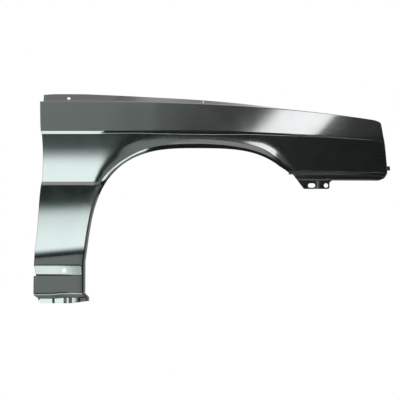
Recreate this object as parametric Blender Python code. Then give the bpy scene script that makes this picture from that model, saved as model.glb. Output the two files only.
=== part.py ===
"""Front fender of a passenger car: one stamped steel sheet.

The outer skin is a grid of quads laid over a height field.  Flanges, the
wheel arch lip, the lower ribs and the bracket grow from its borders, and the
whole sheet is then thickened inwards and pierced.

Lengths are metres.  In the working frame X runs forward and Z up from the
centre of the wheel arch, and Y grows inwards from the shoulder line.  The
finished mesh is moved so that its origin lies on the hood flange.
"""

import math

import bmesh
import bpy

# Sheet
SHEET = 0.0008

# Wheel arch edge, in polar form about the arch centre
ARCH_RADIUS = 0.3576
ARCH_SQUARENESS = 0.0162
ARCH_LOBES = 4.36
ARCH_LOBE_ANGLE = math.radians(131.0)
ARCH_STRAIGHT_ANGLE = math.radians(50.0)
ARCH_STRAIGHT_RATE = 0.060
ARCH_LEG_ANGLE = math.radians(150.0)
ARCH_LEG_RATE = 0.0046

# Lines of the panel, set off from the arch
SHOULDER_ABOVE_ARCH = 0.0354
CREASE_ABOVE_SHOULDER = 0.0902
WAIST_BELOW_ARCH = 0.1171
FOOT_BELOW_ARCH = 0.0816
LEG_REACH = 0.1469
FRONT_REACH = 0.2144
SHOULDER_Z = ARCH_RADIUS + SHOULDER_ABOVE_ARCH
CREASE_Z = SHOULDER_Z + CREASE_ABOVE_SHOULDER
WAIST_Z = ARCH_RADIUS - WAIST_BELOW_ARCH
FOOT_Z = ARCH_RADIUS - FOOT_BELOW_ARCH
REAR_X = -(ARCH_RADIUS + LEG_REACH)
FRONT_X = ARCH_RADIUS + FRONT_REACH

# Bead around the arch: width by angle
BEAD_WIDTHS = ((44.0, 0.0080), (50.0, 0.0080), (60.0, 0.0082), (70.0, 0.0090),
               (80.0, 0.0110), (90.0, 0.0124), (108.0, 0.0122), (119.0, 0.0112),
               (127.0, 0.0110), (135.0, 0.0130), (141.0, 0.0140), (150.0, 0.0115),
               (160.0, 0.0100), (180.0, 0.0100))

# Fall of the bead: a plain roll in front and above, a flat strip with a steep
# edge behind, and a rounder side along the leg; share of the width left, fall
BEAD_ROLL_SLOPE = 0.72
BEAD_STRIP = ((1.0, 0.0), (0.90, 0.0002), (0.48, 0.0015), (0.41, 0.0026),
              (0.20, 0.0064), (0.0, 0.0090))
BEAD_STRIP_SHARES = ((108.0, 0.0), (113.0, 0.25), (119.0, 0.75), (126.0, 1.0),
                     (138.0, 1.0), (142.0, 0.0))
BEAD_SIDE = ((1.0, 0.0), (0.62, 0.0026), (0.0, 0.0130))
BEAD_SIDE_SHARES = ((141.0, 0.0), (149.0, 1.0))
BEAD_STEPS = (1.0, 0.80, 0.60, 0.40, 0.20, 0.0)
LIP_DEPTH = 0.0120

# Flare around the arch: angle, depth of its edge, width of its steep part, width
# of its gentle part, share of the depth that the gentle part takes
FLARE = ((44.0, 0.0200, 0.0050, 0.0120, 0.50), (50.0, 0.0115, 0.0070, 0.0230, 0.60),
         (56.0, 0.0048, 0.0105, 0.0300, 0.58), (61.0, 0.0015, 0.0140, 0.0325, 0.55),
         (66.0, -0.0002, 0.0148, 0.0290, 0.50), (75.0, -0.0010, 0.0155, 0.0240, 0.46),
         (90.0, -0.0018, 0.0160, 0.0205, 0.42), (101.0, -0.0020, 0.0180, 0.0235, 0.46),
         (112.0, -0.0004, 0.0220, 0.0330, 0.56), (119.0, 0.0014, 0.0290, 0.0465, 0.58),
         (126.0, 0.0044, 0.0330, 0.0520, 0.55), (131.0, 0.0080, 0.0320, 0.0490, 0.50),
         (137.0, 0.0130, 0.0250, 0.0330, 0.50), (141.0, 0.0190, 0.0200, 0.0260, 0.50),
         (146.0, 0.0255, 0.0160, 0.0220, 0.50), (152.0, 0.0280, 0.0160, 0.0220, 0.50))
FLARE_SOFTNESS = (0.14, 0.30)
LEG_ROLL = 0.0006
LEG_ROLL_WIDTH = 0.030

# Top crease and shoulder line, falling towards the front
FRONT_SPAN = 1.040
CREASE_FALL = 0.0555
CREASE_POWER = 2.6
SHOULDER_FALL = 0.0250
SHOULDER_POWER = 3.5

# Ledge under the shoulder line: place along X, height, depth, height of the brow
# that overhangs it
SHOULDER_LEDGE = ((-0.480, 0.0100, 0.0044, 0.0004), (-0.320, 0.0100, 0.0042, 0.0005),
                  (-0.265, 0.0072, 0.0046, 0.0012), (-0.100, 0.0090, 0.0059, 0.0046),
                  (0.000, 0.0104, 0.0068, 0.0050), (0.090, 0.0096, 0.0063, 0.0046),
                  (0.150, 0.0094, 0.0061, 0.0034), (0.220, 0.0090, 0.0055, 0.0018),
                  (0.330, 0.0058, 0.0027, 0.0006), (0.450, 0.0042, 0.0014, 0.0004),
                  (0.530, 0.0030, 0.0004, 0.0004))
BROW_SLOPE = 0.040

# Slopes of the section, inwards per unit of fall
UPPER_SLOPE_TOP = -0.290
UPPER_SLOPE_LOW = -0.176
UPPER_HEIGHT = 0.0900
MID_SLOPES = ((-0.300, 0.36), (-0.150, 0.22), (0.000, 0.10), (0.200, 0.04))
MID_TURN = ((0.00, 0.24), (0.27, 0.30), (0.43, 0.46), (0.60, 0.68), (1.00, 1.00))
WAIST_HEIGHT = 0.0085
WAIST_SLOPE = -0.60
WAIST_FILLET = 0.0008
LEG_TURN = ((0.00, 0.018), (0.24, 0.054), (0.36, 0.122), (0.42, 0.160), (0.54, 0.205),
            (1.00, 0.270))
BEND_Z = 0.0385
BEND_HEIGHT = 0.0385
BEND_SLANT = 0.090
SILL_SLOPE_TOP = -0.140
SILL_SLOPE_LOW = -0.130

# Plan sweep towards the front end
SWEEP_START = -0.100
SWEEP_LENGTH = 0.660
SWEEP_DEPTH = 0.109
SWEEP_POWER = 3.2
SWEEP_SHEAR = 0.25

# Trim groove across the leg
GROOVE_TOP = -0.0108
GROOVE_HEIGHT = 0.0324
GROOVE_DEPTH = 0.0112
GROOVE_STEP = 0.0003
GROOVE_SHOAL_START = 0.45
GROOVE_SHOAL_LENGTH = 0.50
GROOVE_SHOAL_LOSS = 0.22
GROOVE_END = 0.985
GROOVE_NOTCH = 0.0070
GROOVE_HOLE_AHEAD = 0.0940
GROOVE_HOLE_DIAMETER = 0.0130

# Rear edge: height, distance ahead of REAR_X
REAR_EDGE = ((0.483, 0.0229), (0.395, 0.0260), (0.382, 0.0297), (0.316, 0.0322),
             (0.248, 0.0287), (0.232, 0.0253), (0.190, 0.0205), (0.140, 0.0168),
             (0.081, 0.0112), (0.030, 0.0045), (-0.010, 0.0020), (-0.096, 0.0010))
REAR_ROLL = 0.0016
REAR_RETURN = 0.0130

# Front edge: height above the foot, distance behind FRONT_X
FRONT_EDGE = ((0.154, 0.0230), (0.124, 0.0175), (0.106, 0.0143), (0.085, 0.0100),
              (0.054, 0.0060), (0.024, 0.0028), (-0.006, 0.0))
FRONT_TOP_RADIUS = 0.0110
FRONT_FOOT_RADIUS = 0.0300
FRONT_ROLL = 0.0030
FRONT_RETURN = 0.0140
FRONT_RETURN_LEAN = 0.0060

# Lug on the front return flange
LUG_REACH = 0.0100
LUG_SETBACK = 0.0060

# Hood flange above the crease: place along X, rise
HOOD_RISE = ((-0.472, 0.0200), (-0.430, 0.0222), (-0.360, 0.0222), (-0.285, 0.0202),
             (-0.141, 0.0158), (0.003, 0.0124), (0.111, 0.0088), (0.219, 0.0044),
             (0.320, 0.0018), (0.528, 0.0012))
HOOD_DEPTH = 0.0220
HOOD_JOGGLE_DEPTH = 0.0060
HOOD_JOGGLE_RISE = 0.0014
HOOD_JOGGLE = ((0.25, 0.75, 0.0), (0.80, 1.0, 0.0), (1.05, 1.0, 0.06))
HOOD_HOLE_AHEAD = 0.1095
HOOD_HOLE_UP = 0.32
HOOD_HOLE_DIAMETER = 0.0105
HOOD_SLOT_X = 0.0100
HOOD_SLOT_LENGTH = 0.0120
HOOD_SLOT_WIDTH = 0.0022
HOOD_MOUNT_AHEAD = 0.0905
HOOD_MOUNT_UP = 0.50
HOOD_SLOT_UP = 0.50

# Ribs along the front foot: fall below the foot crease, height of the rib
RIBS = ((0.0000, 0.0000), (0.0022, 0.0009), (0.0045, 0.0030), (0.0070, 0.0026),
        (0.0102, 0.0004), (0.0126, 0.0012), (0.0150, 0.0030), (0.0178, 0.0025),
        (0.0218, 0.0004), (0.0246, 0.0018), (0.0272, 0.0029), (0.0312, 0.0008))
RIB_FADE = 0.018
FOOT_RETURN = 0.0110
FOOT_RETURN_DROP = 0.0004
LIP_END_INDEX = 5
LIP_END_AHEAD = 0.0012
LIP_END_SHARE = 0.3
FOOT_CUT_AHEAD = 0.0080
FOOT_CUT_RUN = 0.775

# Bracket below the ribs
BRACKET_TOP_LENGTH = 0.1060
BRACKET_DROP = 0.0255
BRACKET_SETBACK = 0.0010
BRACKET_FILLET = 0.0080
BRACKET_CHAMFER = 0.0040
DART_AHEAD = 0.0584
DART = ((-0.0042, 0.0), (0.0042, 0.0030), (0.0180, 0.0))
DART_TOP = 0.35
SLOT_AHEAD = 0.0430
SLOT_WIDTH = 0.0220
HOLE_AHEAD = 0.0871
HOLE_DIAMETER = 0.0130
BRACKET_HOLE_RISE = 0.0105
CUTTER_REACH = 0.0200

# Sill: rounding under the leg, shelf, flange: inwards and fall of each line
SILL_Z = -0.0925
SILL_LINES = ((0.0008, 0.0050), (0.0038, 0.0074), (0.0110, 0.0102), (0.0140, 0.0130))
SILL_FLANGE_DROP = 0.0210
SILL_FLANGE_DEPTH = 0.0046
SILL_INSET = 0.0125
SILL_SPREAD = 0.0115
SILL_TWIST = 0.0090
SILL_TWIST_START = 0.70
SILL_TWIST_TOP = 0.3
SILL_LIFT = 0.0070
SILL_CORNER = 0.0060
SILL_CORNER_SHARE = 0.05
SILL_BEAD_DEPTH = 0.0040
SILL_BEADS = ((0.293, 0.024), (0.521, 0.034), (0.617, 0.032))

# Grid stations
LEG_STATIONS = (0.0, 0.050, 0.134, 0.269, 0.293, 0.317, 0.402, 0.487, 0.521,
                0.555, 0.585, 0.617, 0.649, 0.727, 0.815, 0.900, 0.985, 1.0)
MID_STATIONS = (0.0, 0.10, 0.22, 0.36, 0.52, 0.68, 0.85, 1.0)
FRONT_STATIONS = (0.0, 0.021, 0.040, 0.085, 0.132, 0.175, 0.213, 0.236, 0.260,
                  0.305, 0.360, 0.415, 0.47, 0.54, 0.61, 0.69, 0.77, 0.84, 0.90,
                  0.95, 0.98, 1.0)
BRACKET_FIRST_INDEX = 2
BRACKET_LAST_INDEX = 11
BRACKET_STATIONS = (0.10, 0.32, 0.62, 0.86, 1.0)
SILL_STATIONS = (0.5, 1.0)
UPPER_STATIONS = (0.0, 0.10, 0.28, 0.60, 1.0)
ARCH_COLUMN_COUNT = 30
LEG_ROW_COUNT = 8
BEND_ROW_COUNT = 3
TURN_STEP_COUNT = 3
HOLE_SIDE_COUNT = 24


def lerp(a, b, t):
    """Return the value a share t of the way from a to b."""
    return a + (b - a) * t


def clamp(value, low=0.0, high=1.0):
    """Return the value held between low and high."""
    return max(low, min(high, value))


def ease(value):
    """Return a smooth step from 0 to 1."""
    t = clamp(value)
    return t * t * (3.0 - 2.0 * t)


def curve(stations, x, column=1):
    """Return one column of the stations at x, on a smooth curve."""
    sign = 1.0 if stations[-1][0] > stations[0][0] else -1.0
    keys = [sign * row[0] for row in stations]
    values = [row[column] for row in stations]
    x = clamp(sign * x, keys[0], keys[-1])
    last = len(keys) - 2
    k = min(sum(1 for key in keys[1:-1] if x >= key), last)
    gaps = [(values[i + 1] - values[i]) / (keys[i + 1] - keys[i])
            for i in range(len(keys) - 1)]

    def tangent(i):
        if i == 0 or i == len(keys) - 1:
            return gaps[min(i, last)]
        before, after = gaps[i - 1], gaps[i]
        if before * after <= 0.0:
            return 0.0
        return 2.0 * before * after / (before + after)

    span = keys[k + 1] - keys[k]
    t = (x - keys[k]) / span
    a = (1.0 + 2.0 * t) * (1.0 - t) ** 2 * values[k]
    b = t * (1.0 - t) ** 2 * span * tangent(k)
    c = t * t * (3.0 - 2.0 * t) * values[k + 1]
    d = t * t * (t - 1.0) * span * tangent(k + 1)
    return a + b + c + d


def soft_ramp(value, width):
    """Return a ramp that starts at zero through a rounded foot."""
    if value <= -width:
        return 0.0
    if value >= width:
        return value
    return (value + width) ** 2 / (4.0 * width)


def slope_integral(nodes, t):
    """Return the depth at fall t, measured from fall zero, for slope nodes."""
    def area(limit):
        total = 0.0
        for (t0, m0), (t1, m1) in zip(nodes, nodes[1:]):
            if limit <= t0:
                break
            if t1 == t0:
                continue
            end = min(limit, t1)
            m_end = lerp(m0, m1, (end - t0) / (t1 - t0))
            total += (m0 + m_end) * 0.5 * (end - t0)
        if limit < nodes[0][0]:
            total = nodes[0][1] * (limit - nodes[0][0])
        if limit > nodes[-1][0]:
            total += nodes[-1][1] * (limit - nodes[-1][0])
        return total

    return area(t) - area(0.0)


def fall_share(x):
    """Return how far along the panel x lies, from 0 at the rear edge."""
    return clamp((x - REAR_X) / FRONT_SPAN, 0.0, 2.0)


def crease_z(x):
    """Return the height of the top crease."""
    return CREASE_Z - CREASE_FALL * fall_share(x) ** CREASE_POWER


def shoulder_z(x):
    """Return the height of the shoulder line."""
    return SHOULDER_Z - SHOULDER_FALL * fall_share(x) ** SHOULDER_POWER


def ledge_height(x):
    """Return the height of the ledge under the shoulder line."""
    return curve(SHOULDER_LEDGE, x, 1)


def brow_height(x):
    """Return the height of the brow over the ledge."""
    return curve(SHOULDER_LEDGE, x, 3)


def arch_radius(angle):
    """Return the distance of the arch edge from the arch centre."""
    angle = clamp(angle, 0.0, math.pi)
    wave = math.cos(ARCH_LOBES * (angle - ARCH_LOBE_ANGLE))
    straight = ARCH_STRAIGHT_RATE * max(0.0, ARCH_STRAIGHT_ANGLE - angle)
    straight += ARCH_LEG_RATE * max(0.0, angle - ARCH_LEG_ANGLE)
    return ARCH_RADIUS + ARCH_SQUARENESS * wave + straight


def bead_width(angle):
    """Return the width of the bead at an angle about the arch centre."""
    return curve(BEAD_WIDTHS, math.degrees(angle), 1)


def arch_point(angle, outward):
    """Return X and Z of a point outside the arch edge by a given distance."""
    radius = arch_radius(angle) + outward
    return radius * math.cos(angle), radius * math.sin(angle)


def bead_border(angle):
    """Return X and Z where the bead leaves the panel."""
    return arch_point(angle, bead_width(angle))


def border_angle(height):
    """Return the angle at which the rear border of the bead has a height."""
    low, high = math.radians(95.0), math.pi
    for _ in range(50):
        middle = (low + high) / 2.0
        if bead_border(middle)[1] > height:
            low = middle
        else:
            high = middle
    return (low + high) / 2.0


def front_angle():
    """Return the angle at which the bead reaches the foot crease."""
    low, high = math.radians(30.0), math.radians(60.0)
    for _ in range(50):
        middle = (low + high) / 2.0
        if bead_border(middle)[1] > FOOT_Z:
            high = middle
        else:
            low = middle
    return (low + high) / 2.0


def leg_border_x(height):
    """Return X of the bead's border beside the leg."""
    if height > 0.0:
        return bead_border(border_angle(height))[0]
    return bead_border(math.pi)[0]


def groove_shape(z):
    """Return the depth of the trim groove at a height, as a share."""
    fall = GROOVE_TOP - z
    if fall <= 0.0 or fall >= GROOVE_HEIGHT:
        return 0.0
    shoulder = GROOVE_HEIGHT - GROOVE_STEP
    if fall <= shoulder:
        return fall / shoulder
    return (GROOVE_HEIGHT - fall) / GROOVE_STEP


def rear_x(z):
    """Return X of the rear edge."""
    return REAR_X + curve(REAR_EDGE, z, 1) + GROOVE_NOTCH * groove_shape(z)


def front_line(z):
    """Return X of the front edge before its corners are rounded."""
    return FRONT_X - curve(FRONT_EDGE, z - FOOT_Z, 1)


def front_x(z):
    """Return X of the front edge, with its rounded top and foot."""
    x = front_line(z)
    top = crease_z(x) - FRONT_TOP_RADIUS
    foot = FOOT_Z - RIBS[-1][0] + FRONT_FOOT_RADIUS
    if z > top:
        rise = clamp((z - top) / FRONT_TOP_RADIUS)
        x -= FRONT_TOP_RADIUS * (1.0 - math.sqrt(1.0 - rise * rise))
    if z < foot:
        fall = clamp((foot - z) / FRONT_FOOT_RADIUS)
        x -= FRONT_FOOT_RADIUS * (1.0 - math.sqrt(1.0 - fall * fall))
    return x


def sweep(x, z):
    """Return how far the plan curve has turned the panel inwards."""
    run = x + SWEEP_SHEAR * (SHOULDER_Z - z) - SWEEP_START
    return SWEEP_DEPTH * (max(0.0, run) / SWEEP_LENGTH) ** SWEEP_POWER


def bend_start(x):
    """Return the height where the leg starts to bend back out."""
    return BEND_Z + BEND_SLANT * (x - REAR_X)


def section(x, z):
    """Return the depth of the panel's section, without flare and groove."""
    top = shoulder_z(x)
    high = ledge_height(x)
    ledge = curve(SHOULDER_LEDGE, x, 2) / high
    brow = brow_height(x)
    waist = top - WAIST_Z
    leg = waist + WAIST_HEIGHT
    bend = top - bend_start(x)
    steep = curve(MID_SLOPES, x, 1)
    end, knee = waist - WAIST_FILLET, leg + WAIST_FILLET
    nodes = (
        (-UPPER_HEIGHT, UPPER_SLOPE_TOP),
        (-brow, UPPER_SLOPE_LOW),
        (-brow, BROW_SLOPE),
        (0.0, BROW_SLOPE),
        (0.0, ledge),
        (high, ledge),
        *((lerp(high, end, share), steep * turn) for share, turn in MID_TURN),
        (waist + WAIST_FILLET, WAIST_SLOPE),
        (leg - WAIST_FILLET, WAIST_SLOPE),
        *((lerp(knee, bend, share), slope) for share, slope in LEG_TURN),
        (bend + BEND_HEIGHT, SILL_SLOPE_TOP),
        (top - SILL_Z, SILL_SLOPE_LOW),
    )
    return slope_integral(nodes, top - z)


def flare_blend(x, z):
    """Return the flare's weight and edge depth at a point of the panel."""
    angle = clamp(math.atan2(z, x), 0.0, math.pi) if z > 0.0 else math.pi
    if z > 0.0:
        away = math.hypot(x, z) - arch_radius(angle) - bead_width(angle)
    else:
        away = bead_border(math.pi)[0] - x
    degrees = math.degrees(angle)
    leg = ease((degrees - FLARE[-3][0]) / (FLARE[-1][0] - FLARE[-3][0]))
    border_x = leg_border_x(z) if leg > 0.0 else x
    low = sweep(border_x, z) + section(border_x, z) + LEG_ROLL
    edge, narrow, wide, share = (curve(FLARE, degrees, k) for k in range(1, 5))
    weight = 0.0
    for width, part, softness in ((narrow, 1.0 - share, FLARE_SOFTNESS[0]),
                                  (wide, share, FLARE_SOFTNESS[1])):
        width = lerp(width, LEG_ROLL_WIDTH, leg)
        weight += part * clamp(soft_ramp(1.0 - max(0.0, away) / width, softness))
    return weight, lerp(edge, low, leg)


def skin(x, z, groove=0.0):
    """Return the depth of the outer face of the panel."""
    base = sweep(x, z) + section(x, z)
    weight, depth = flare_blend(x, z)
    return lerp(base, depth, weight) + groove * GROOVE_DEPTH * groove_shape(z)


def joint_angle():
    """Return the angle at which the leg meets the panel above the arch."""
    return border_angle(WAIST_Z + WAIST_FILLET)


def column_heights(x, bottom, top):
    """Return the heights of the grid rows from the crease down to a bottom."""
    line = shoulder_z(x)
    rows = [lerp(top, line + brow_height(x), share) for share in UPPER_STATIONS]
    rows.append(line)
    start = line - ledge_height(x)
    rows += [lerp(start, bottom, share) for share in MID_STATIONS]
    return rows


def leg_heights(x):
    """Return the heights of the grid rows of the leg, below the waist line."""
    groove_foot = GROOVE_TOP - GROOVE_HEIGHT
    bend = bend_start(x)
    rows = [WAIST_Z - WAIST_HEIGHT + WAIST_FILLET, WAIST_Z - WAIST_HEIGHT - WAIST_FILLET]
    start = rows[-1]
    rows += [lerp(start, bend, (i + 1) / LEG_ROW_COUNT) for i in range(LEG_ROW_COUNT)]
    rows += [lerp(bend, bend - BEND_HEIGHT, (i + 1) / BEND_ROW_COUNT)
             for i in range(BEND_ROW_COUNT)]
    rows += [GROOVE_TOP, GROOVE_TOP - GROOVE_HEIGHT / 2.0, groove_foot + GROOVE_STEP]
    rows += [groove_foot, lerp(groove_foot, SILL_Z, 0.5), SILL_Z]
    return rows


def row_x(z, share, border):
    """Return X at a share of the way from the rear edge to the border."""
    return lerp(rear_x(z) + REAR_ROLL, border, share)


class Sheet:
    """Collects the quads of the sheet before it is thickened."""

    def __init__(self):
        self.mesh = bmesh.new()

    def face(self, points):
        """Add one face from its corner points."""
        corners = []
        for point in points:
            if all((point[0] - q[0]) ** 2 + (point[1] - q[1]) ** 2
                   + (point[2] - q[2]) ** 2 > 1e-12 for q in corners):
                corners.append(point)
        if len(corners) > 2:
            self.mesh.faces.new([self.mesh.verts.new(point) for point in corners])

    def patch(self, grid):
        """Add a grid of points, given as rows, as quads."""
        for upper, lower in zip(grid, grid[1:]):
            for i in range(len(upper) - 1):
                self.face((upper[i], lower[i], lower[i + 1], upper[i + 1]))


def body_columns():
    """Return the columns of points of the whole panel above the leg."""
    bottom = WAIST_Z + WAIST_FILLET
    joint_x = bead_border(joint_angle())[0]
    columns = []
    for share in LEG_STATIONS:
        x_mid = lerp(REAR_X, joint_x, share)
        heights = column_heights(x_mid, bottom, crease_z(x_mid))
        points = []
        for z in heights:
            x = row_x(z, share, joint_x)
            points.append((x, skin(x, z), z))
        columns.append(points)
    first, last = joint_angle(), front_angle()
    for i in range(1, ARCH_COLUMN_COUNT + 1):
        x, bottom = bead_border(lerp(first, last, i / ARCH_COLUMN_COUNT))
        heights = column_heights(x, bottom, crease_z(x))
        columns.append([(x, skin(x, z), z) for z in heights])
    start = bead_border(last)[0]
    edge = front_line(FOOT_Z)
    for share in FRONT_STATIONS[1:]:
        x = lerp(start, edge, share)
        top = crease_z(x)
        for _ in range(6):
            top = crease_z(lerp(start, front_x(top) - FRONT_ROLL, share))
        heights = column_heights(x, FOOT_Z, top)
        points = []
        for z in heights:
            x = lerp(start, front_x(z) - FRONT_ROLL, share)
            points.append((x, skin(x, z), z))
        columns.append(points)
    return columns


def leg_rows():
    """Return the rows of points of the leg, from the waist fold down."""
    joint_x = bead_border(joint_angle())[0]
    top = []
    for share in LEG_STATIONS:
        z = WAIST_Z + WAIST_FILLET
        x = row_x(z, share, joint_x)
        top.append((x, skin(x, z), z))
    rows = [top]
    guess = [row_x(WAIST_Z, share, joint_x) for share in LEG_STATIONS]
    for k in range(len(leg_heights(REAR_X))):
        row = []
        for x_near, share in zip(guess, LEG_STATIONS):
            z = leg_heights(x_near)[k]
            x = row_x(z, share, leg_border_x(z))
            shoal = ease((share - GROOVE_SHOAL_START) / GROOVE_SHOAL_LENGTH)
            groove = clamp((1.0 - share) / (1.0 - GROOVE_END))
            groove *= 1.0 - GROOVE_SHOAL_LOSS * shoal
            row.append((x, skin(x, z, groove), z))
        rows.append(row)
    return rows


def bead_fall(angle, share):
    """Return how far the bead has turned inwards at a share of its width left."""
    degrees = math.degrees(angle)
    fall = BEAD_ROLL_SLOPE * bead_width(angle) * (1.0 - share)
    fall = lerp(fall, curve(BEAD_STRIP, share), curve(BEAD_STRIP_SHARES, degrees))
    return lerp(fall, curve(BEAD_SIDE, share), curve(BEAD_SIDE_SHARES, degrees))


def bead_section(angle, straight_z=None):
    """Return the points of the bead and lip across one station."""
    width = bead_width(angle)
    if straight_z is None:
        base_x, base_z = bead_border(angle)
    else:
        base_x, base_z = bead_border(math.pi)[0], straight_z
    groove_free = skin(base_x, base_z)
    points = []
    for share in BEAD_STEPS:
        if straight_z is None:
            x, z = arch_point(angle, width * share)
        else:
            x, z = arch_point(math.pi, width * share)[0], straight_z
        points.append((x, groove_free + bead_fall(angle, share), z))
    x, y, z = points[-1]
    points.append((x, y + LIP_DEPTH, z))
    return points


def lip_end_x():
    """Return X where the lip of the arch runs out into the ribs."""
    return bead_border(front_angle())[0] + LIP_END_AHEAD


def cut_x(fall):
    """Return X of the slanted rear cut at a fall below the foot crease."""
    return lip_end_x() + FOOT_CUT_AHEAD + FOOT_CUT_RUN * (fall - RIBS[LIP_END_INDEX][0])


def foot_reach(column, fall):
    """Return a column's share of the way from the slanted cut to the edge."""
    total = RIBS[-1][0]
    share = FRONT_STATIONS[column]
    first, last = FRONT_STATIONS[BRACKET_FIRST_INDEX], FRONT_STATIONS[BRACKET_LAST_INDEX]
    upper = (share - first) / (1.0 - first)
    left = cut_x(total)
    right = front_x(FOOT_Z - total) - FRONT_ROLL
    end = left + BRACKET_TOP_LENGTH
    if column <= BRACKET_LAST_INDEX:
        x = lerp(left, end, (share - first) / (last - first))
    else:
        x = lerp(end, right, (share - last) / (1.0 - last))
    return lerp(upper, (x - left) / (right - left), fall / total)


def rib_point(row, column, start):
    """Return a point of the rib field for a row and a front station."""
    fall, height = RIBS[row]
    z = FOOT_Z - fall
    edge = front_x(z) - FRONT_ROLL
    if row <= LIP_END_INDEX:
        lean = row / LIP_END_INDEX
        first = lerp(lerp(start, edge, FRONT_STATIONS[1]), lip_end_x(), lean)
        second = lip_end_x() + FOOT_CUT_AHEAD
        second = lerp(lerp(start, edge, FRONT_STATIONS[2]), second, lean)
    else:
        first = lip_end_x()
        second = cut_x(fall)
    if column == 1:
        x = first
    elif column == 2:
        x = second
    else:
        x = lerp(second, edge, foot_reach(column, fall))
    fade = clamp((front_x(FOOT_Z) - x) / RIB_FADE)
    y = sweep(x, z) + section(x, FOOT_Z)
    if row == 0:
        return x, skin(x, z), z
    return x, y - height * fade, z


def rib_rows(start):
    """Return the rows of the rib field; rows past the lip start further on."""
    rows = []
    for row in range(len(RIBS)):
        rows.append([rib_point(row, column, start)
                     for column in range(1, len(FRONT_STATIONS))])
    return rows


def bracket_rows(fold):
    """Return the rows of the bracket below its fold line."""
    fold_z = fold[0][2]
    right = fold[-1][0]
    turn = (fold[-1][1] - fold[0][1]) / (right - fold[0][0])
    dart = cut_x(RIBS[-1][0]) + DART_AHEAD
    rows = [list(fold)]
    for step in BRACKET_STATIONS:
        drop = BRACKET_DROP * step
        left = fold[0][0] + FOOT_CUT_RUN * drop
        rounding = clamp(1.0 - drop / BRACKET_FILLET)
        chamfer = max(0.0, drop - BRACKET_DROP + BRACKET_CHAMFER)
        end = right - BRACKET_FILLET * (1.0 - rounding ** 2) - chamfer
        row = []
        for point in fold:
            share = (point[0] - fold[0][0]) / (right - fold[0][0])
            x = lerp(left, end, share)
            y = fold[0][1] + turn * (x - fold[0][0]) + BRACKET_SETBACK
            bump = curve(DART, x - dart) * lerp(DART_TOP, 1.0, step)
            row.append((x, y - bump, fold_z - drop))
        rows.append(row)
    return rows


def hood_section(point):
    """Return the points of the hood flange above one point of the crease."""
    x, y, z = point
    rise = curve(HOOD_RISE, x, 1)
    low = min(HOOD_JOGGLE_RISE, rise * 0.6)
    points = [(x, y, z)]
    for inward, share, climb in HOOD_JOGGLE:
        height = share * low + climb * (rise - low)
        points.append((x, y + inward * HOOD_JOGGLE_DEPTH, z + height))
    points.append((x, y + HOOD_DEPTH, z + rise))
    return points


def hood_point(x, share):
    """Return a point on the slope of the hood flange."""
    z = crease_z(x)
    section_points = hood_section((x, skin(x, z), z))
    a, b = section_points[3], section_points[4]
    return tuple(lerp(p, q, share) for p, q in zip(a, b))


def hood_normal(x):
    """Return the outward normal of the hood flange's slope."""
    z = crease_z(x)
    points = hood_section((x, skin(x, z), z))
    dy = points[4][1] - points[3][1]
    dz = points[4][2] - points[3][2]
    length = math.hypot(dy, dz)
    return 0.0, -dz / length, dy / length


def edge_return(points, side, roll, depth, lean):
    """Return the grid of a return flange along an edge of the skin."""
    rows = [list(points)]
    for step in range(1, TURN_STEP_COUNT + 1):
        turn = math.pi / 2.0 * step / TURN_STEP_COUNT
        out = side * roll * math.sin(turn)
        inward = roll * (1.0 - math.cos(turn))
        rows.append([(x + out, y + inward, z) for x, y, z in points])
    rows.append([(x - side * lean, y + depth, z) for x, y, z in rows[-1]])
    return rows


def sill_bead(share):
    """Return how deep the flange's beads are at a share of its width."""
    depth = 0.0
    for centre, width in SILL_BEADS:
        depth += max(0.0, 1.0 - 2.0 * abs(share - centre) / width)
    return SILL_BEAD_DEPTH * depth


def sill_rows(bottom):
    """Return the rows below the leg: rounding, shelf and flange."""
    rows = [list(bottom)]
    left, right = bottom[0][0], bottom[-1][0]
    final = SILL_LINES[-1]
    lines = [(0.0, inward, fall) for inward, fall in SILL_LINES]
    for step in SILL_STATIONS:
        lines.append((step, final[0] + SILL_FLANGE_DEPTH * step,
                      final[1] + SILL_FLANGE_DROP * step))
    first = SILL_LINES[0][0]
    for step, inward, fall in lines:
        inset = SILL_INSET * ease((inward - first) / (final[0] - first))
        row = []
        for x, y, z in bottom:
            share = (x - left) / (right - left)
            twist = ease((share - SILL_TWIST_START) / (1.0 - SILL_TWIST_START))
            corner = SILL_CORNER * step * clamp(1.0 - share / SILL_CORNER_SHARE)
            spread = SILL_SPREAD * ease(fall / final[1])
            new_x = lerp(left + inset, right + spread, share)
            new_y = y + inward - SILL_TWIST * twist * lerp(SILL_TWIST_TOP, 1.0, step)
            new_z = z - fall + SILL_LIFT * twist * step + corner
            depth = sill_bead(share) if fall >= final[1] else 0.0
            row.append((new_x, new_y + depth, new_z))
        rows.append(row)
    return rows


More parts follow.
